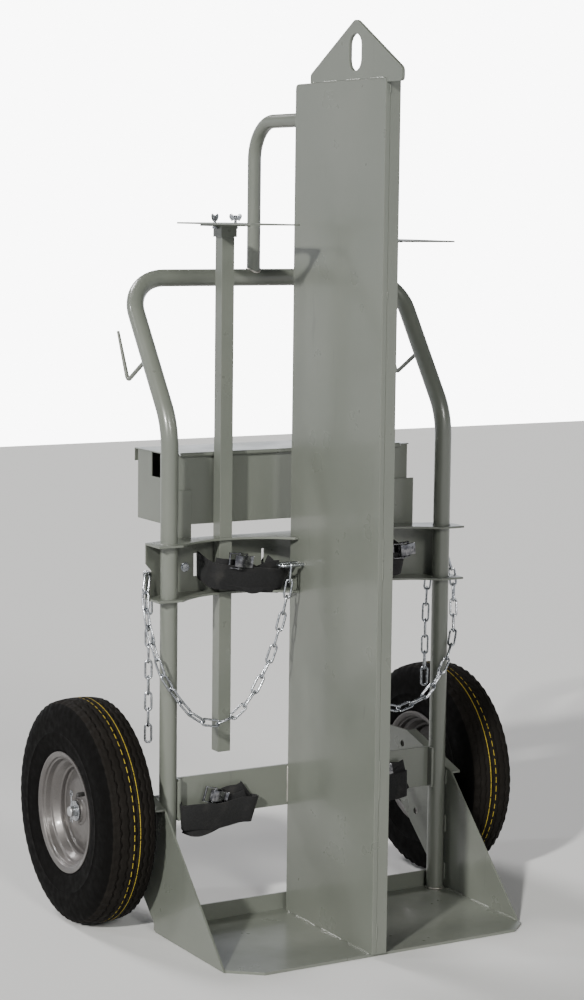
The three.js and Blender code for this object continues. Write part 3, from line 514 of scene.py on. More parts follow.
def plate(bm, outline, thick, place):
    """A flat plate: outline points (u, v) pushed along w, put in place by a matrix."""
    low = [bm.verts.new(place @ Vector((u, v, 0))) for u, v in outline]
    high = [bm.verts.new(place @ Vector((u, v, thick))) for u, v in outline]
    bm.faces.new(list(reversed(low)))
    bm.faces.new(high)
    for i in range(len(outline)):
        k = (i + 1) % len(outline)
        bm.faces.new((low[i], low[k], high[k], high[i]))


def make(name, bm, look, body, replaces=(), bevel=0.0, sharp=38):
    """Turns a bmesh into a finished piece that rides on a body."""
    bmesh.ops.recalc_face_normals(bm, faces=bm.faces)
    limit = math.radians(sharp)
    for face in bm.faces:
        face.smooth = True
    for edge in bm.edges:
        edge.smooth = not (edge.is_manifold and edge.calc_face_angle(0) > limit)
    mesh = bpy.data.meshes.new(name)
    bm.to_mesh(mesh)
    bm.free()
    mesh.materials.append(look)
    piece = bpy.data.objects.new(name, mesh)
    bpy.context.scene.collection.objects.link(piece)
    if bevel:
        soften(piece, bevel)
    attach(piece, body)
    if replaces:
        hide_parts(*replaces)


def soften(piece, width):
    edge = piece.modifiers.new("edge", "BEVEL")
    edge.width = width
    edge.segments = 2
    edge.limit_method = "ANGLE"
    edge.angle_limit = math.radians(32)
    edge.harden_normals = True


def facing(origin, normal, up=UP):
    """A matrix whose Z is the normal and whose Y leans to up."""
    normal = normal.normalized()
    across = up.cross(normal).normalized()
    return Matrix.Translation(origin) @ Matrix((across, normal.cross(across), normal)).transposed().to_4x4()


# ---------- CAD sheet metal that stays ----------
SHEET_NODES = [
    "base_pan", "firewall_left_skin", "firewall_right_skin", "lift_plate", "saddle_channel", "lower_crossbar",
    "toolbox_body", "toolbox_lid",
    *(f"{part}_{side}" for side, _ in SIDES
      for part in ("side_plate", "toolbox_bracket", "retainer_post", "retainer_head", "retainer_plate"))]


def dress(node, look, bevel=0.0007):
    piece = nodes[node]
    piece.data.materials.clear()
    piece.data.materials.append(look)
    for face in piece.data.polygons:
        face.use_smooth = True
    join = piece.modifiers.new("join", "WELD")
    join.merge_threshold = 0.00002
    soften(piece, bevel)
    shade = piece.modifiers.new("shade", "WEIGHTED_NORMAL")
    shade.weight = 100


for node in SHEET_NODES:
    dress(node, PAINT)
dress("firewall_core", BOARD, 0.0003)


# ---------- tubes and rods ----------
def middle(node):
    low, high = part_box(node)
    return (low + high) / 2


tube_low, tube_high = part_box("frame_tube")
TUBE_R = 15.9 * MM
TUBE_X = tube_high.x - TUBE_R
BAR = Vector((0, tube_high.y - TUBE_R, tube_high.z - TUBE_R))
BEND_Z = 921 * MM
BRACE_R = 12.7 * MM
BASE_T = 5 * MM
SIDE_PLATE_X = 306.2 * MM             # just inside each side plate
AXLE_R = 9.5 * MM
PIN_R = 2 * MM
HOOK_R = 4 * MM
HOOK_BEND = (167, 989)                # the hose hook's bend and tip, as (y, z) in mm
HOOK_TIP = (208, 1077)
EYE_R = 3.2 * MM
WALL_X = middle("brace_tube").x
WALL_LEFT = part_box("firewall_left_skin")[0].x
WALL_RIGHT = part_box("firewall_right_skin")[1].x
WALL_LOW, WALL_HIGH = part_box("firewall_left_skin")


def frame_tube():
    corners = []
    for sign in (-1, 1):
        leg = [Vector((sign * TUBE_X, 0, tube_low.z)), Vector((sign * TUBE_X, 0, BEND_Z)),
               Vector((sign * TUBE_X, BAR.y, BAR.z))]
        corners += leg if sign < 0 else leg[::-1]
    bm = bmesh.new()
    path = bend_path(corners, [130 * MM, 76 * MM, 76 * MM, 130 * MM], 14)
    sweep(bm, path, circle(TUBE_R, 36), Vector((1, 0.02, 0)))
    make("frame_tube_bent", bm, PAINT, "cart", ["frame_tube"])


def brace_tube():
    low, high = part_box("brace_tube")
    top = high.z - BRACE_R
    bm = bmesh.new()
    corners = [Vector((WALL_X, BAR.y, BAR.z)), Vector((WALL_X, BAR.y, top)), Vector((WALL_X, low.y, top))]
    sweep(bm, bend_path(corners, [70 * MM], 16), circle(BRACE_R, 32), RIGHT)
    make("brace_tube_bent", bm, PAINT, "cart", ["brace_tube"])


def hose_hook(side, sign):
    x = sign * TUBE_X / MM
    corners = [vec(x, 92, 1033), vec(x, *HOOK_BEND), vec(x, *HOOK_TIP)]
    bm = bmesh.new()
    path = bend_path(corners, [9 * MM], 8)
    rings = len(path)
    sweep(bm, path, circle(HOOK_R, 16), RIGHT, grow=lambda i: 0.7 if i == rings - 1 else 1)
    make(f"hose_hook_rod_{side}", bm, PAINT, "cart", [f"hose_hook_{side}"])


def chain_eye(side, sign):
    low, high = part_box(f"chain_eye_{side}")
    z = (low.z + high.z) / 2
    face, tip = (high.x, low.x + EYE_R) if sign < 0 else (low.x, high.x - EYE_R)
    front, back = low.y + EYE_R, high.y - EYE_R
    corners = [Vector((x, y, z)) for x, y in ((face, front), (tip, front), (tip, back), (face, back))]
    bm = bmesh.new()
    sweep(bm, bend_path(corners, [10 * MM] * 2, 8), circle(EYE_R, 16), UP)
    make(f"chain_eye_rod_{side}", bm, ZINC, "cart", [f"chain_eye_{side}"])


def turned_rod(bm, r, x0, x1, y, z, chamfer, sides=32):
    path = [Vector((x, y, z)) for x in (x0, x0 + chamfer, x1 - chamfer, x1)]
    sweep(bm, path, circle(r, sides), UP, grow=lambda i: 1 - chamfer / r if i in (0, 3) else 1)


def axle():
    low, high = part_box("axle")
    bm = bmesh.new()
    turned_rod(bm, AXLE_R, low.x, high.x, WHEEL_CENTRE.y, WHEEL_CENTRE.z, 1.5 * MM)
    make("axle_rod", bm, STEEL, "cart", ["axle"])


def hinge_pin():
    low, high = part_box("toolbox_hinge_pin")
    bm = bmesh.new()
    turned_rod(bm, PIN_R, low.x, high.x, (low.y + high.y) / 2, (low.z + high.z) / 2, 0.4 * MM, 16)
    make("hinge_pin_rod", bm, STEEL, "cart", ["toolbox_hinge_pin"])


frame_tube()
brace_tube()
axle()
hinge_pin()
for side, sign in SIDES:
    hose_hook(side, sign)
    chain_eye(side, sign)


# ---------- welds ----------
RIPPLE = 3.2 * MM
RIPPLE_STEPS = 4


def bead(bm, points, radius, closed=False):
    """A weld bead: a rod with overlapping ripples."""
    path = resample(points, RIPPLE / RIPPLE_STEPS)
    count = len(path)

    def grow(i):
        end = 1 if closed else min(1, (i + 1) / 4, (count - i) / 4)
        return end * (0.82 + 0.18 * abs(math.sin(math.pi * i / RIPPLE_STEPS)))

    hint = Vector((0.3, 0.5, 0.8))
    if closed:
        path = path[:-1]
    sweep(bm, path, circle(radius, 8), hint, closed=closed, grow=grow)


def ring_points(centre, axis, radius, sides=40, arc=1.0, start=0.0):
    axis = axis.normalized()
    a = axis.orthogonal().normalized()
    b = axis.cross(a)
    turn = 2 * math.pi * arc / sides
    return [centre + (a * math.cos(start + turn * i) + b * math.sin(start + turn * i)) * radius
            for i in range(sides + 1)]


def runs(start, end, length, gap):
    """Stitches of weld of a length, with gaps between them, from start to end."""
    whole = (end - start).length
    along = (end - start).normalized()
    place = 0.0
    while place < whole:
        stop = min(place + length, whole)
        if stop - place > 4 * MM:
            yield [start + along * place, start + along * stop]
        place = stop + gap


def frame_welds(bm, sign, deck):
    """Beads round one upright, along its side plate and at its hose hook."""
    saddle_low, saddle_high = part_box("saddle_channel")
    tube = Vector((sign * TUBE_X, 0, 0))
    bead(bm, ring_points(tube + UP * (deck + 1 * MM), UP, TUBE_R), 2.4 * MM, closed=True)
    for z in (saddle_low.z, saddle_high.z):
        bead(bm, ring_points(tube + UP * z, UP, TUBE_R, arc=0.8, start=0.6), 1.6 * MM)
    plate_x = sign * SIDE_PLATE_X
    deck_line = [Vector((plate_x, y * MM, deck)) for y in (-246, 4)]
    for stitch in runs(*deck_line, 60 * MM, 25 * MM):
        bead(bm, stitch, 2.4 * MM)
    tube_line = [Vector((plate_x, -9 * MM, z * MM)) for z in (20, 236)]
    for stitch in runs(*tube_line, 34 * MM, 60 * MM):
        bead(bm, stitch, 1.6 * MM)
    hook_foot = Vector((sign * TUBE_X, 97 * MM, 1030 * MM))
    bead(bm, ring_points(hook_foot, Vector((0, 71, -41)), 4.2 * MM, 16), 1.8 * MM, closed=True)


def eye_welds(bm, side, sign):
    """A bead round each foot of a chain eye, on the barrier's face."""
    face_x = WALL_LEFT if sign < 0 else WALL_RIGHT
    low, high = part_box(f"chain_eye_{side}")
    for y in (low.y + EYE_R, high.y - EYE_R):
        foot = Vector((face_x, y, (low.z + high.z) / 2))
        bead(bm, ring_points(foot, RIGHT, 3.4 * MM, 16), 1.7 * MM, closed=True)


def painted_welds():
    bm = bmesh.new()
    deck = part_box("base_pan")[0].z + BASE_T
    for side, sign in SIDES:
        frame_welds(bm, sign, deck)
        eye_welds(bm, side, sign)
    for x in (WALL_LEFT - 0.6 * MM, WALL_RIGHT + 0.6 * MM):
        for stitch in runs(Vector((x, -290 * MM, deck)), Vector((x, -6 * MM, deck)), 70 * MM, 22 * MM):
            bead(bm, stitch, 2.8 * MM)
    plate_low, plate_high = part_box("lift_plate")
    for x in (plate_low.x, plate_high.x):
        top_line = [Vector((x, y * MM, WALL_HIGH.z)) for y in (-292, -54)]
        for stitch in runs(*top_line, 46 * MM, 30 * MM):
            bead(bm, stitch, 1.8 * MM)
    brace_low, brace_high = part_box("brace_tube")
    brace_end = Vector((WALL_X, brace_low.y, brace_high.z - BRACE_R))
    bead(bm, ring_points(brace_end, BACK, BRACE_R), 2.0 * MM, closed=True)
    bar_low, bar_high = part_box("lower_crossbar")
    for x in (-bar_high.x, bar_high.x):
        ends = (bar_low.z + 3 * MM, bar_high.z - 3 * MM)
        bead(bm, [Vector((x, bar_low.y + 2 * MM, z)) for z in ends], 1.8 * MM)
    make("painted_weld_beads", bm, PAINT, "cart", sharp=60)


SEAM_STITCHES = ((1498, 1522), (1152, 1166), (668, 742), (282, 352), (30, 60))   # heights in mm


def seam_welds():
    """Stitches on the barrier's front seam."""
    bm = bmesh.new()
    seam_x = WALL_LOW.x + 9.2 * MM
    for low, high in SEAM_STITCHES:
        bead(bm, [Vector((seam_x, WALL_LOW.y, z * MM)) for z in (low, high)], 1.5 * MM)
    make("seam_weld_beads", bm, PAINT, "cart", sharp=60)


def bare_welds():
    """The beads that the paint doesn't cover: at the brace's foot, the crossbar and one upright."""
    bm = bmesh.new()
    foot = []
    steps = 48
    for i in range(steps + 1):
        a = 2 * math.pi * i / steps
        y = BRACE_R * math.sin(a)
        rise = math.sqrt(TUBE_R ** 2 - y ** 2)
        foot.append(Vector((WALL_X + BRACE_R * math.cos(a), BAR.y + y, BAR.z + rise)))
    bead(bm, foot, 2.0 * MM, closed=True)
    bar_low, bar_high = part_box("lower_crossbar")
    for x in (WALL_LEFT, WALL_RIGHT):
        ends = (bar_low.z + 4 * MM, bar_high.z - 4 * MM)
        bead(bm, [Vector((x, WALL_HIGH.y, z)) for z in ends], 1.6 * MM)
    right_foot = Vector((TUBE_X, 0, 6.5 * MM))
    bead(bm, ring_points(right_foot, UP, TUBE_R + 1 * MM, arc=0.3, start=2.6), 2.2 * MM)
    make("bare_weld_beads", bm, WELD, "cart", sharp=60)


painted_welds()
seam_welds()
bare_welds()


# ---------- wheels ----------
TREAD_PITCHES = 59
TYRE_R = 206                          # these sizes of the tyre are in mm
GROOVES = (-29, -17.5, -2.6, 12.5, 27)
ZIGZAG = 1.9
GROOVE_HALF = 1.6
GROOVE_DEPTH = 2.9
TREAD_HALF = 39
TREAD_STEPS = 66
NOTCH_X = 31                          # outboard of here every pitch of the tread has a notch
NOTCH_SHARE = 0.3
NOTCH_DEPTH = 2.2
WALL_NOTCH_DEPTH = 1.2
NOTCH_WALL = (186, 200)               # radii between which the notches run on down the wall


def tread_radius(x, i, sides):
    """The tread's radius at offset x and station i: a crown with zigzag grooves and notched shoulders."""
    crown = TYRE_R - 4.6 * (abs(x) / 40) ** 2.4
    phase = (i * TREAD_PITCHES / sides) % 1
    zigzag = ZIGZAG * (abs(phase * 4 - 2) - 1)
    for at in GROOVES:
        off = abs(x - at - zigzag)
        if off < GROOVE_HALF:
            crown -= GROOVE_DEPTH * (1 - (off / GROOVE_HALF) ** 3)
    if abs(x) > NOTCH_X and phase < NOTCH_SHARE:
        crown -= NOTCH_DEPTH * min(1, (abs(x) - NOTCH_X) / 5)
    return crown


TYRE_WALL = [                         # down the outside from the tread, round the bead and up the inside
    (199.0, 41.5), (194, 45), (188.5, 47.6), (187.4, 48.0), (180, 50), (172, 51.2), (160, 51.9), (148, 51.6),
    (146.8, 52.1), (145.6, 51.4), (136, 50.4), (126, 48.8), (119, 47.2), (115.4, 46.0), (112.6, 44.8),
    (111.9, 42.4), (101.9, 42.2), (101.9, 31), (118, 35), (140, 43.5), (180, 38), (191, 12)]


def add_tyre(side, sign):
    centre = Vector((sign * WHEEL_X, WHEEL_CENTRE.y, WHEEL_CENTRE.z))
    sides = TREAD_PITCHES * 4
    tread_x = [-TREAD_HALF + 2 * TREAD_HALF * k / TREAD_STEPS for k in range(TREAD_STEPS + 1)]
    rings = []
    bm = bmesh.new()
    for i in range(sides):
        a = 2 * math.pi * i / sides
        notch = WALL_NOTCH_DEPTH if (i * TREAD_PITCHES / sides) % 1 < NOTCH_SHARE else 0.0
        wall = [(r - (notch if NOTCH_WALL[0] < r < NOTCH_WALL[1] else 0), x) for r, x in TYRE_WALL]
        profile = [(tread_radius(x, i, sides), x) for x in tread_x]
        profile += wall
        profile += [(r, -x) for r, x in reversed(wall)]
        radial = Vector((0, math.sin(a), math.cos(a)))
        places = (radial * r + Vector((sign * x, 0, 0)) for r, x in profile)
        rings.append([bm.verts.new(centre + place * MM) for place in places])
    join_rings(bm, rings)
    make(f"tyre_tread_{side}", bm, tyre_rubber(side), f"wheel_{side}", [f"tyre_{side}"], sharp=50)


def mm_profile(points):
    return [(r * MM, x * MM) for r, x in points]


SHAFT_BORE_R = 9.8                    # the rim's, hub's and axle rings' sizes are in mm too
RIM_OUTSIDE = [                       # from the outboard lip to the middle of the well, under the tyre
    (111, 46), (111.2, 44.2), (110.4, 42.9), (107, 42.5), (102, 42.5), (101.4, 41.6), (101.4, 32),
    (100, 30), (94.8, 27), (94, 24.6), (84.6, 13), (83, 11.8)]
RIM_INSIDE = [                        # from the disc out to the lip, with its pressed steps
    (80.4, 12.4), (80.8, 13.6), (83.6, 14.4), (84.6, 15.8), (90.8, 25.4), (92.2, 26.8), (95.6, 27.4),
    (96.4, 28.6), (96.8, 37.4), (97.4, 38.4), (99.8, 38.9), (100.4, 40.0), (100.5, 42.6), (101.8, 44.2),
    (106, 45.0), (107.5, 45.8), (109.5, 46.2)]
RIM_DISC = [                          # inboard face towards the hub, then the outboard face back out
    (80.4, -3), (79.4, 0.4), (76, 2.2), (70, 3.4), (66, 4.8), (60, 8.6), (56, 10), (34, 10.4),
    (24.2, 10.4), (24.2, 13.4), (34, 13.4), (55, 13.0), (61, 11.4), (67.5, 7.4), (71, 6.2), (78, 4.6),
    (80.4, 6.5)]
HUB = [
    (24, -42), (24, -5), (26.5, -4), (26.5, 9.8), (27.4, 10.2), (27.4, 13.6), (25.4, 15.4), (22.6, 16.4),
    (21.8, 18.2), (20.8, 20), (14.1, 20), (14.1, -42)]
BEARING = [(14, -41), (14, 18.6), (13, 19), (11.6, 19), (11.2, 18.6), (9.7, 18.6), (9.7, -41)]
VALVE = (                             # distance along the stem and radius
    (0, 5.6), (3, 5.6), (6, 5.0), (9, 4.2), (27, 3.8), (28, 3.0), (29, 4.1), (30, 4.3),
    (40.5, 4.3), (42, 3.4))


def inboard(profile):
    return [(r, -x) for r, x in reversed(profile)]


def add_rim(side, sign):
    centre = Vector((sign * WHEEL_X, WHEEL_CENTRE.y, WHEEL_CENTRE.z))
    body = f"wheel_{side}"
    rim = RIM_OUTSIDE + inboard(RIM_OUTSIDE) + inboard(RIM_INSIDE) + RIM_DISC + RIM_INSIDE
    bm = bmesh.new()
    lathe(bm, mm_profile(rim), 96, centre, sign)
    make(f"rim_pressed_{side}", bm, SILVER, body, [f"rim_{side}"], sharp=50)

    bm = bmesh.new()
    lathe(bm, mm_profile(HUB), 64, centre, sign)
    make(f"hub_turned_{side}", bm, SILVER, body, [f"hub_{side}"], sharp=40)

    bm = bmesh.new()
    lathe(bm, mm_profile(BEARING), 48, centre, sign)
    make(f"bearing_sleeve_{side}", bm, STEEL, body, [f"roller_bearing_{side}"])
    add_valve(side, sign, body)


def add_valve(side, sign, body):
    low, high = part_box(f"valve_stem_{side}")
    y, z = (low.y + high.y) / 2, (low.z + high.z) / 2
    start = low.x if sign > 0 else high.x
    path = [Vector((start + sign * d * MM, y, z)) for d, _ in VALVE]
    bm = bmesh.new()
    sweep(bm, path, circle(1 * MM, 20), UP, grow=lambda i: VALVE[i][1])
    make(f"valve_rubber_{side}", bm, RUBBER, body, [f"valve_stem_{side}"])


def add_shaft_ring(side, part, r_out, name, look):
    """A washer or spacer on the axle, with its rims eased."""
    low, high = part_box(f"{part}_{side}")
    half = (high.x - low.x) / 2 / MM
    centre = Vector(((low.x + high.x) / 2, WHEEL_CENTRE.y, WHEEL_CENTRE.z))
    edge = min(0.5, half / 3)
    ring = [
        (r_out, half - edge), (r_out - edge, half), (SHAFT_BORE_R, half), (SHAFT_BORE_R, -half),
        (r_out - edge, -half), (r_out, -half + edge)]
    bm = bmesh.new()
    lathe(bm, mm_profile(ring), 48, centre)
    make(f"{name}_{side}", bm, look, "cart", [f"{part}_{side}"])


def add_cotter(side):
    """A split pin: two legs spread under the axle, and the eye they make above it."""
    low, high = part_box(f"cotter_pin_{side}")
    x, y = (low.x + high.x) / 2 / MM, WHEEL_CENTRE.y / MM
    centre_z = WHEEL_CENTRE.z / MM
    legs = ((0.9, 30), (0.7, -11), (5, -21))
    bm = bmesh.new()
    for lean in (-1, 1):
        corners = [vec(x, y + lean * off, centre_z + rise) for off, rise in legs]
        sweep(bm, bend_path(corners, [3 * MM], 5), circle(0.9 * MM, 8), RIGHT)
    head = ring_points(vec(x, y, centre_z + 34), RIGHT, 4.6 * MM, 24)[:-1]
    sweep(bm, head, circle(1.1 * MM, 8), RIGHT, closed=True)
    make(f"split_pin_{side}", bm, ZINC, "cart", [f"cotter_pin_{side}"])


def add_axle_end(side):
    add_shaft_ring(side, "axle_washer", 19, "thrust_washer", ZINC)
    add_shaft_ring(side, "axle_spacer", 14, "spacer_sleeve", STEEL)
    add_cotter(side)


for side, sign in SIDES:
    add_tyre(side, sign)
    add_rim(side, sign)
    add_axle_end(side)


# ---------- fasteners ----------
def hexagon(bm, across, thick, place):
    plate(bm, circle(across / 2 / math.cos(math.pi / 6), 6), thick, place)


def shank(bm, start, end, r):
    count = max(2, round((end - start).length / (0.35 * MM)))
    path = [start.lerp(end, i / count) for i in range(count + 1)]
    sweep(bm, path, circle(r, 14), (end - start).orthogonal(), grow=lambda i: 1 - 0.06 * (i % 3))


def ring_plate(bm, r_out, r_in, thick, origin, normal):
    place = facing(origin, normal)
    rings = []
    for r, w in ((r_in, 0), (r_out, 0), (r_out, thick), (r_in, thick)):
        rings.append([bm.verts.new(place @ Vector((a, b, w))) for a, b in circle(r, 28)])
    join_rings(bm, rings)


WING = (                              # up each ear of a wing nut: share of its height, and its width
    (0, 0.9), (0.2, 1.05), (0.4, 1.15), (0.6, 1.2), (0.8, 1.05), (0.95, 0.7), (1.0, 0.35))


def wing_screw(side, number):
    node = f"wing_screw_{side}_{number}"
    low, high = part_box(node)
    x, y = (low.x + high.x) / 2, (low.y + high.y) / 2
    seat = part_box(f"retainer_plate_{side}")[1].z + 0.2 * MM
    foot = Vector((x, y, low.z))
    bm = bmesh.new()
    hexagon(bm, 9.6 * MM, 3.8 * MM, facing(foot, UP, BACK))
    shank(bm, foot + UP * 3 * MM, Vector((x, y, seat + 13.5 * MM)), 2.9 * MM)
    ring_plate(bm, 8 * MM, 3.2 * MM, 1.2 * MM, Vector((x, y, seat)), UP)
    ring_plate(bm, 5.6 * MM, 3.0 * MM, 5.2 * MM, Vector((x, y, seat + 1.3 * MM)), UP)
    turn = Matrix.Rotation(0.5 if number == 1 else -0.35, 4, "Z")
    for lean in (-1, 1):
        rises = [Vector((lean * (4.2 + 5.2 * t), 0, 4 + 11.5 * t)) * MM for t, _ in WING]
        ear = [Vector((x, y, seat)) + turn @ rise for rise in rises]
        strip = rounded_strip(7.4 * MM, 2.2 * MM)
        sweep(bm, ear, strip, turn @ Vector((1, 0, -0.45)), grow=lambda i: WING[i][1])
    make(f"wing_nut_{side}_{number}", bm, ZINC, f"retainer_{side}", [node], bevel=0.0002)


def toolbox_bolt(side):
    node = f"toolbox_bolt_{side}"
    low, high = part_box(node)
    x, z = (low.x + high.x) / 2, (low.z + high.z) / 2
    front, back = Vector((x, low.y, z)), Vector((x, high.y, z))
    bm = bmesh.new()
    hexagon(bm, 12.6 * MM, 5.1 * MM, facing(front, BACK))
    ring_plate(bm, 8.5 * MM, 4 * MM, 0.8 * MM, front + Vector((0, 4.4 * MM, 0)), BACK)
    shank(bm, front + Vector((0, 4 * MM, 0)), back, 3.9 * MM)
    hexagon(bm, 12.6 * MM, 5.4 * MM, facing(back - Vector((0, 10.2 * MM, 0)), BACK))
    make(f"hex_bolt_{side}", bm, ZINC, "cart", [node], bevel=0.0003)


def set_screw(side):
    node = f"post_set_screw_{side}"
    low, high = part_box(node)
    x, z = (low.x + high.x) / 2, (low.z + high.z) / 2
    head = Vector((x, high.y - 10 * MM, z))
    h = 5.6 * MM
    bm = bmesh.new()
    shank(bm, Vector((x, low.y, z)), head + Vector((0, 1 * MM, 0)), 4.4 * MM)
    plate(bm, [(-h, -h), (h, -h), (h, h), (-h, h)], 9.8 * MM, facing(head, BACK))
    make(f"square_screw_{side}", bm, ZINC, "cart", [node], bevel=0.0006)


for side, _ in SIDES:
    wing_screw(side, 1)
    wing_screw(side, 2)
    toolbox_bolt(side)
    set_screw(side)


# ---------- chains ----------
WIRE = 4.2 * MM
LINK_PITCH = 30 * MM
LINK_WIDTH = 15.6 * MM


def link(bm, start, end, normal):
    """One straight link whose inside ends lie at start and end."""
    along = (end - start).normalized()
    normal = (normal - along * normal.dot(along)).normalized()
    across = normal.cross(along)
    bow = (LINK_WIDTH - WIRE) / 2
    reach = (end - start).length / 2 + WIRE / 2 - bow
    centre = (start + end) / 2
    path = []
    for sign in (1, -1):
        for k in range(9):
            a = math.pi * k / 8
            end_wise = along * (reach + bow * math.sin(a))
            path.append(centre + sign * (end_wise + across * bow * math.cos(a)))
    sweep(bm, path, circle(WIRE / 2, 10), normal, closed=True)


def chain(name, route, twist, replaced=()):
    """Links along a hanging line, each turned a quarter from the one before."""
    joints = resample(smooth_path([vec(*p) for p in route]), LINK_PITCH)
    chance = random.Random(7)
    bm = bmesh.new()
    face = Vector(twist)
    for i, (start, end) in enumerate(zip(joints, joints[1:])):
        along = (end - start).normalized()
        face = (face - along * face.dot(along)).normalized()
        quarter = Matrix.Rotation(math.pi / 2 * (i % 2) + chance.uniform(-0.22, 0.22), 3, along)
        link(bm, start, end, quarter @ face)
    make(name, bm, ZINC, "cart", replaced, sharp=70)


# The chains' routes in mm: from the eye down across the bay to the slot, then the spare links.
LEFT_CHAIN = [
    (-68, -50, 667), (-71, -50, 636), (-77, -49, 603), (-84, -48, 572), (-92, -47, 543), (-102, -46, 511),
    (-114, -44, 480), (-128, -42, 455), (-144, -41, 426), (-166, -38, 404), (-191, -36, 387),
    (-222, -33, 385), (-250, -31, 397), (-275, -31, 421), (-311, -27, 472), (-321, -20, 502),
    (-330, 0, 560), (-330, 14, 612), (-321, 24, 652)]
LEFT_TAIL = [(-321, 26, 658), (-311, 43, 640), (-307, 46, 600), (-307, 46, 470), (-307, 46, 346)]
RIGHT_CHAIN = [
    (18, -50, 667), (20, -50, 636), (25, -48, 590), (40, -46, 530), (62, -44, 480), (96, -42, 426),
    (136, -40, 388), (158, -38, 379), (181, -37, 373), (199, -37, 379), (223, -36, 386), (243, -36, 397),
    (261, -36, 421), (281, -32, 445), (297, -25, 473), (314, -12, 504), (324, 4, 550), (330, 16, 606),
    (321, 24, 650)]
RIGHT_TAIL = [(321, 26, 658), (308, 48, 640), (301, 58, 606), (299, 62, 520), (299, 62, 392)]
chain("chain_links_left", LEFT_CHAIN, (0.87, -0.5, 0), ["chain_left"])
chain("chain_tail_links_left", LEFT_TAIL, (0.5, 0.87, 0))
chain("chain_links_right", RIGHT_CHAIN, (0.87, -0.5, 0), ["chain_right"])
chain("chain_tail_links_right", RIGHT_TAIL, (0.5, 1, 0))


# ---------- straps ----------
STRAP_T = 2.6 * MM


def strap(name, layers, replaced=()):
    """Webbing laid along listed bands: each is a list of (x, y, z) points at the middle of the width."""
    bm = bmesh.new()
    for points, width, lean in layers:
        path = smooth_path([vec(*p) for p in points], 7)
        sweep(bm, path, rounded_strip(width * MM, STRAP_T), Vector((0, lean, 1)).normalized(), uv=True)
    make(name, bm, WEBBING, "cart", replaced, sharp=60)


def cam_buckle(name, x, y, z, roll, replaced=()):
    """A pressed frame round the webbing, a toothed cam lever folded over it, and its pivot pin."""
    upright = Matrix.Rotation(roll, 4, "Y") @ Matrix.Rotation(math.pi / 2, 4, "X")
    place = Matrix.Translation(vec(x, y, z)) @ upright
    bm = bmesh.new()
    turn = place.to_3x3()
    for v in (-14, 12.6):
        cheek = [(-20, 0), (18, 0), (18, 4), (9, 11), (-3, 13), (-10, 11), (-20, 4)]
        side = place @ Matrix.Translation((0, (v + 1.4) * MM, 0)) @ Matrix.Rotation(math.pi / 2, 4, "X")
        plate(bm, [(u * MM, w * MM) for u, w in cheek], 1.4 * MM, side)
    for end in (-18, 16):
        bar = [place @ Vector((end * MM, v * MM, 2.4 * MM)) for v in (-14, 14)]
        sweep(bm, bar, circle(2.2 * MM, 12), turn @ RIGHT)
    lever = [place @ Vector((u * MM, 0, w * MM)) for u, w in
             ((-7, 3.0), (-8, 6.5), (-5, 10.5), (1, 12), (9, 11.6), (17, 9.6), (23, 9.2), (26, 10.6))]
    sweep(bm, lever, rounded_strip(22 * MM, 1.8 * MM), turn @ BACK)
    for v in (-9, -6, -3, 0, 3, 6, 9):
        tooth = [place @ Vector((u * MM, v * MM, w * MM)) for u, w in ((-7.2, 3.5), (-8.6, 1.6))]
        sweep(bm, tooth, circle(0.9 * MM, 6), turn @ BACK, grow=lambda i: 1 - 0.7 * i)
    pin = [place @ Vector((-2 * MM, v * MM, 8.4 * MM)) for v in (-15.5, 15.5)]
    sweep(bm, pin, circle(2.4 * MM, 14), turn @ RIGHT)
    make(name, bm, PLATED, "cart", replaced, bevel=0.0002)


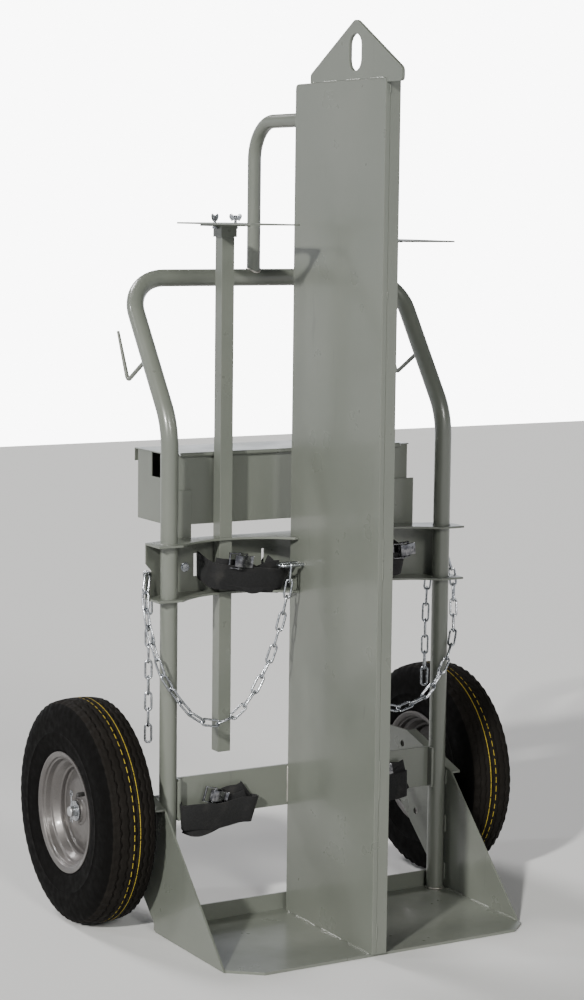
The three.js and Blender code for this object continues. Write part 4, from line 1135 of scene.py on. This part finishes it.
def upper_straps():
    front = [(-186, 61, 662), (-199, 60, 661), (-204.4, 55, 661), (-205.6, 46, 660), (-206, 34, 657),
             (-206, 12, 652), (-203, -2, 649), (-192, -10, 646), (-165, -12, 643), (-130, -14, 638),
             (-100, -13, 634), (-72, -10, 631), (-57, -4, 629), (-52, 6, 629), (-57, 14, 631),
             (-66, 34, 636), (-69, 52, 646), (-69, 66, 649)]
    inner = [(-197, 4, 655), (-184, -5, 653), (-160, -8, 650), (-136, -9, 643), (-122, -9, 635),
             (-104, -9, 639), (-86, -7, 643), (-68, -4, 643)]
    tail = [(-69, 66, 649), (-75, 72, 646), (-92, 74, 642), (-130, 75, 640), (-150, 76, 628)]
    bands = [(front, 50, 0.0), (inner, 50, 0.05), (tail, 48, 0.1)]
    for side, sign in SIDES:
        flipped = [([(sign * -x, y, z) for x, y, z in points], width, lean) for points, width, lean in bands]
        strap(f"strap_band_upper_{side}", flipped, [f"strap_upper_{side}"])
    cam_buckle("buckle_upper_left", -158, -14, 674, 0.12, ["cam_buckle_upper_left"])
    cam_buckle("buckle_upper_right", 190, -14, 672, -0.1, ["cam_buckle_upper_right"])


def lower_straps():
    left = [
        ([(-262, -3, 216), (-268, -10, 214), (-266, -19, 213), (-250, -23, 214), (-225, -24, 213),
          (-200, -22, 210), (-175, -20, 212), (-150, -19, 215), (-128, -19, 214), (-119, -14, 213),
          (-120, -6, 213), (-130, -3, 214)], 50, 0.0),
        ([(-256, -8, 206), (-240, -17, 200), (-222, -18, 202), (-200, -15, 208), (-180, -13, 214),
          (-160, -12, 220), (-142, -13, 224), (-132, -12, 228)], 50, 0.05),
        ([(-190, -9, 234), (-172, -9, 240), (-150, -9, 241), (-137, -8, 246), (-132, -5, 250)], 40, 0.0)]
    strap("strap_band_lower_left", left, ["strap_lower_left"])
    cam_buckle("buckle_lower_left", -203, -10, 247, 0.28)
    right = [
        ([(98, -3, 224), (92, -10, 224), (96, -19, 224), (120, -24, 224), (150, -23, 222), (180, -20, 220),
          (206, -17, 222), (214, -10, 222), (206, -4, 222)], 50, 0.0),
        ([(110, -9, 212), (134, -16, 210), (160, -15, 214), (186, -13, 222), (208, -11, 234)], 50, 0.05),
        ([(150, -9, 244), (172, -9, 248), (196, -9, 246), (212, -7, 250)], 36, 0.0)]
    strap("strap_band_lower_right", right, ["strap_lower_right"])
    cam_buckle("buckle_lower_right", 150, -11, 252, -0.2)


upper_straps()
lower_straps()
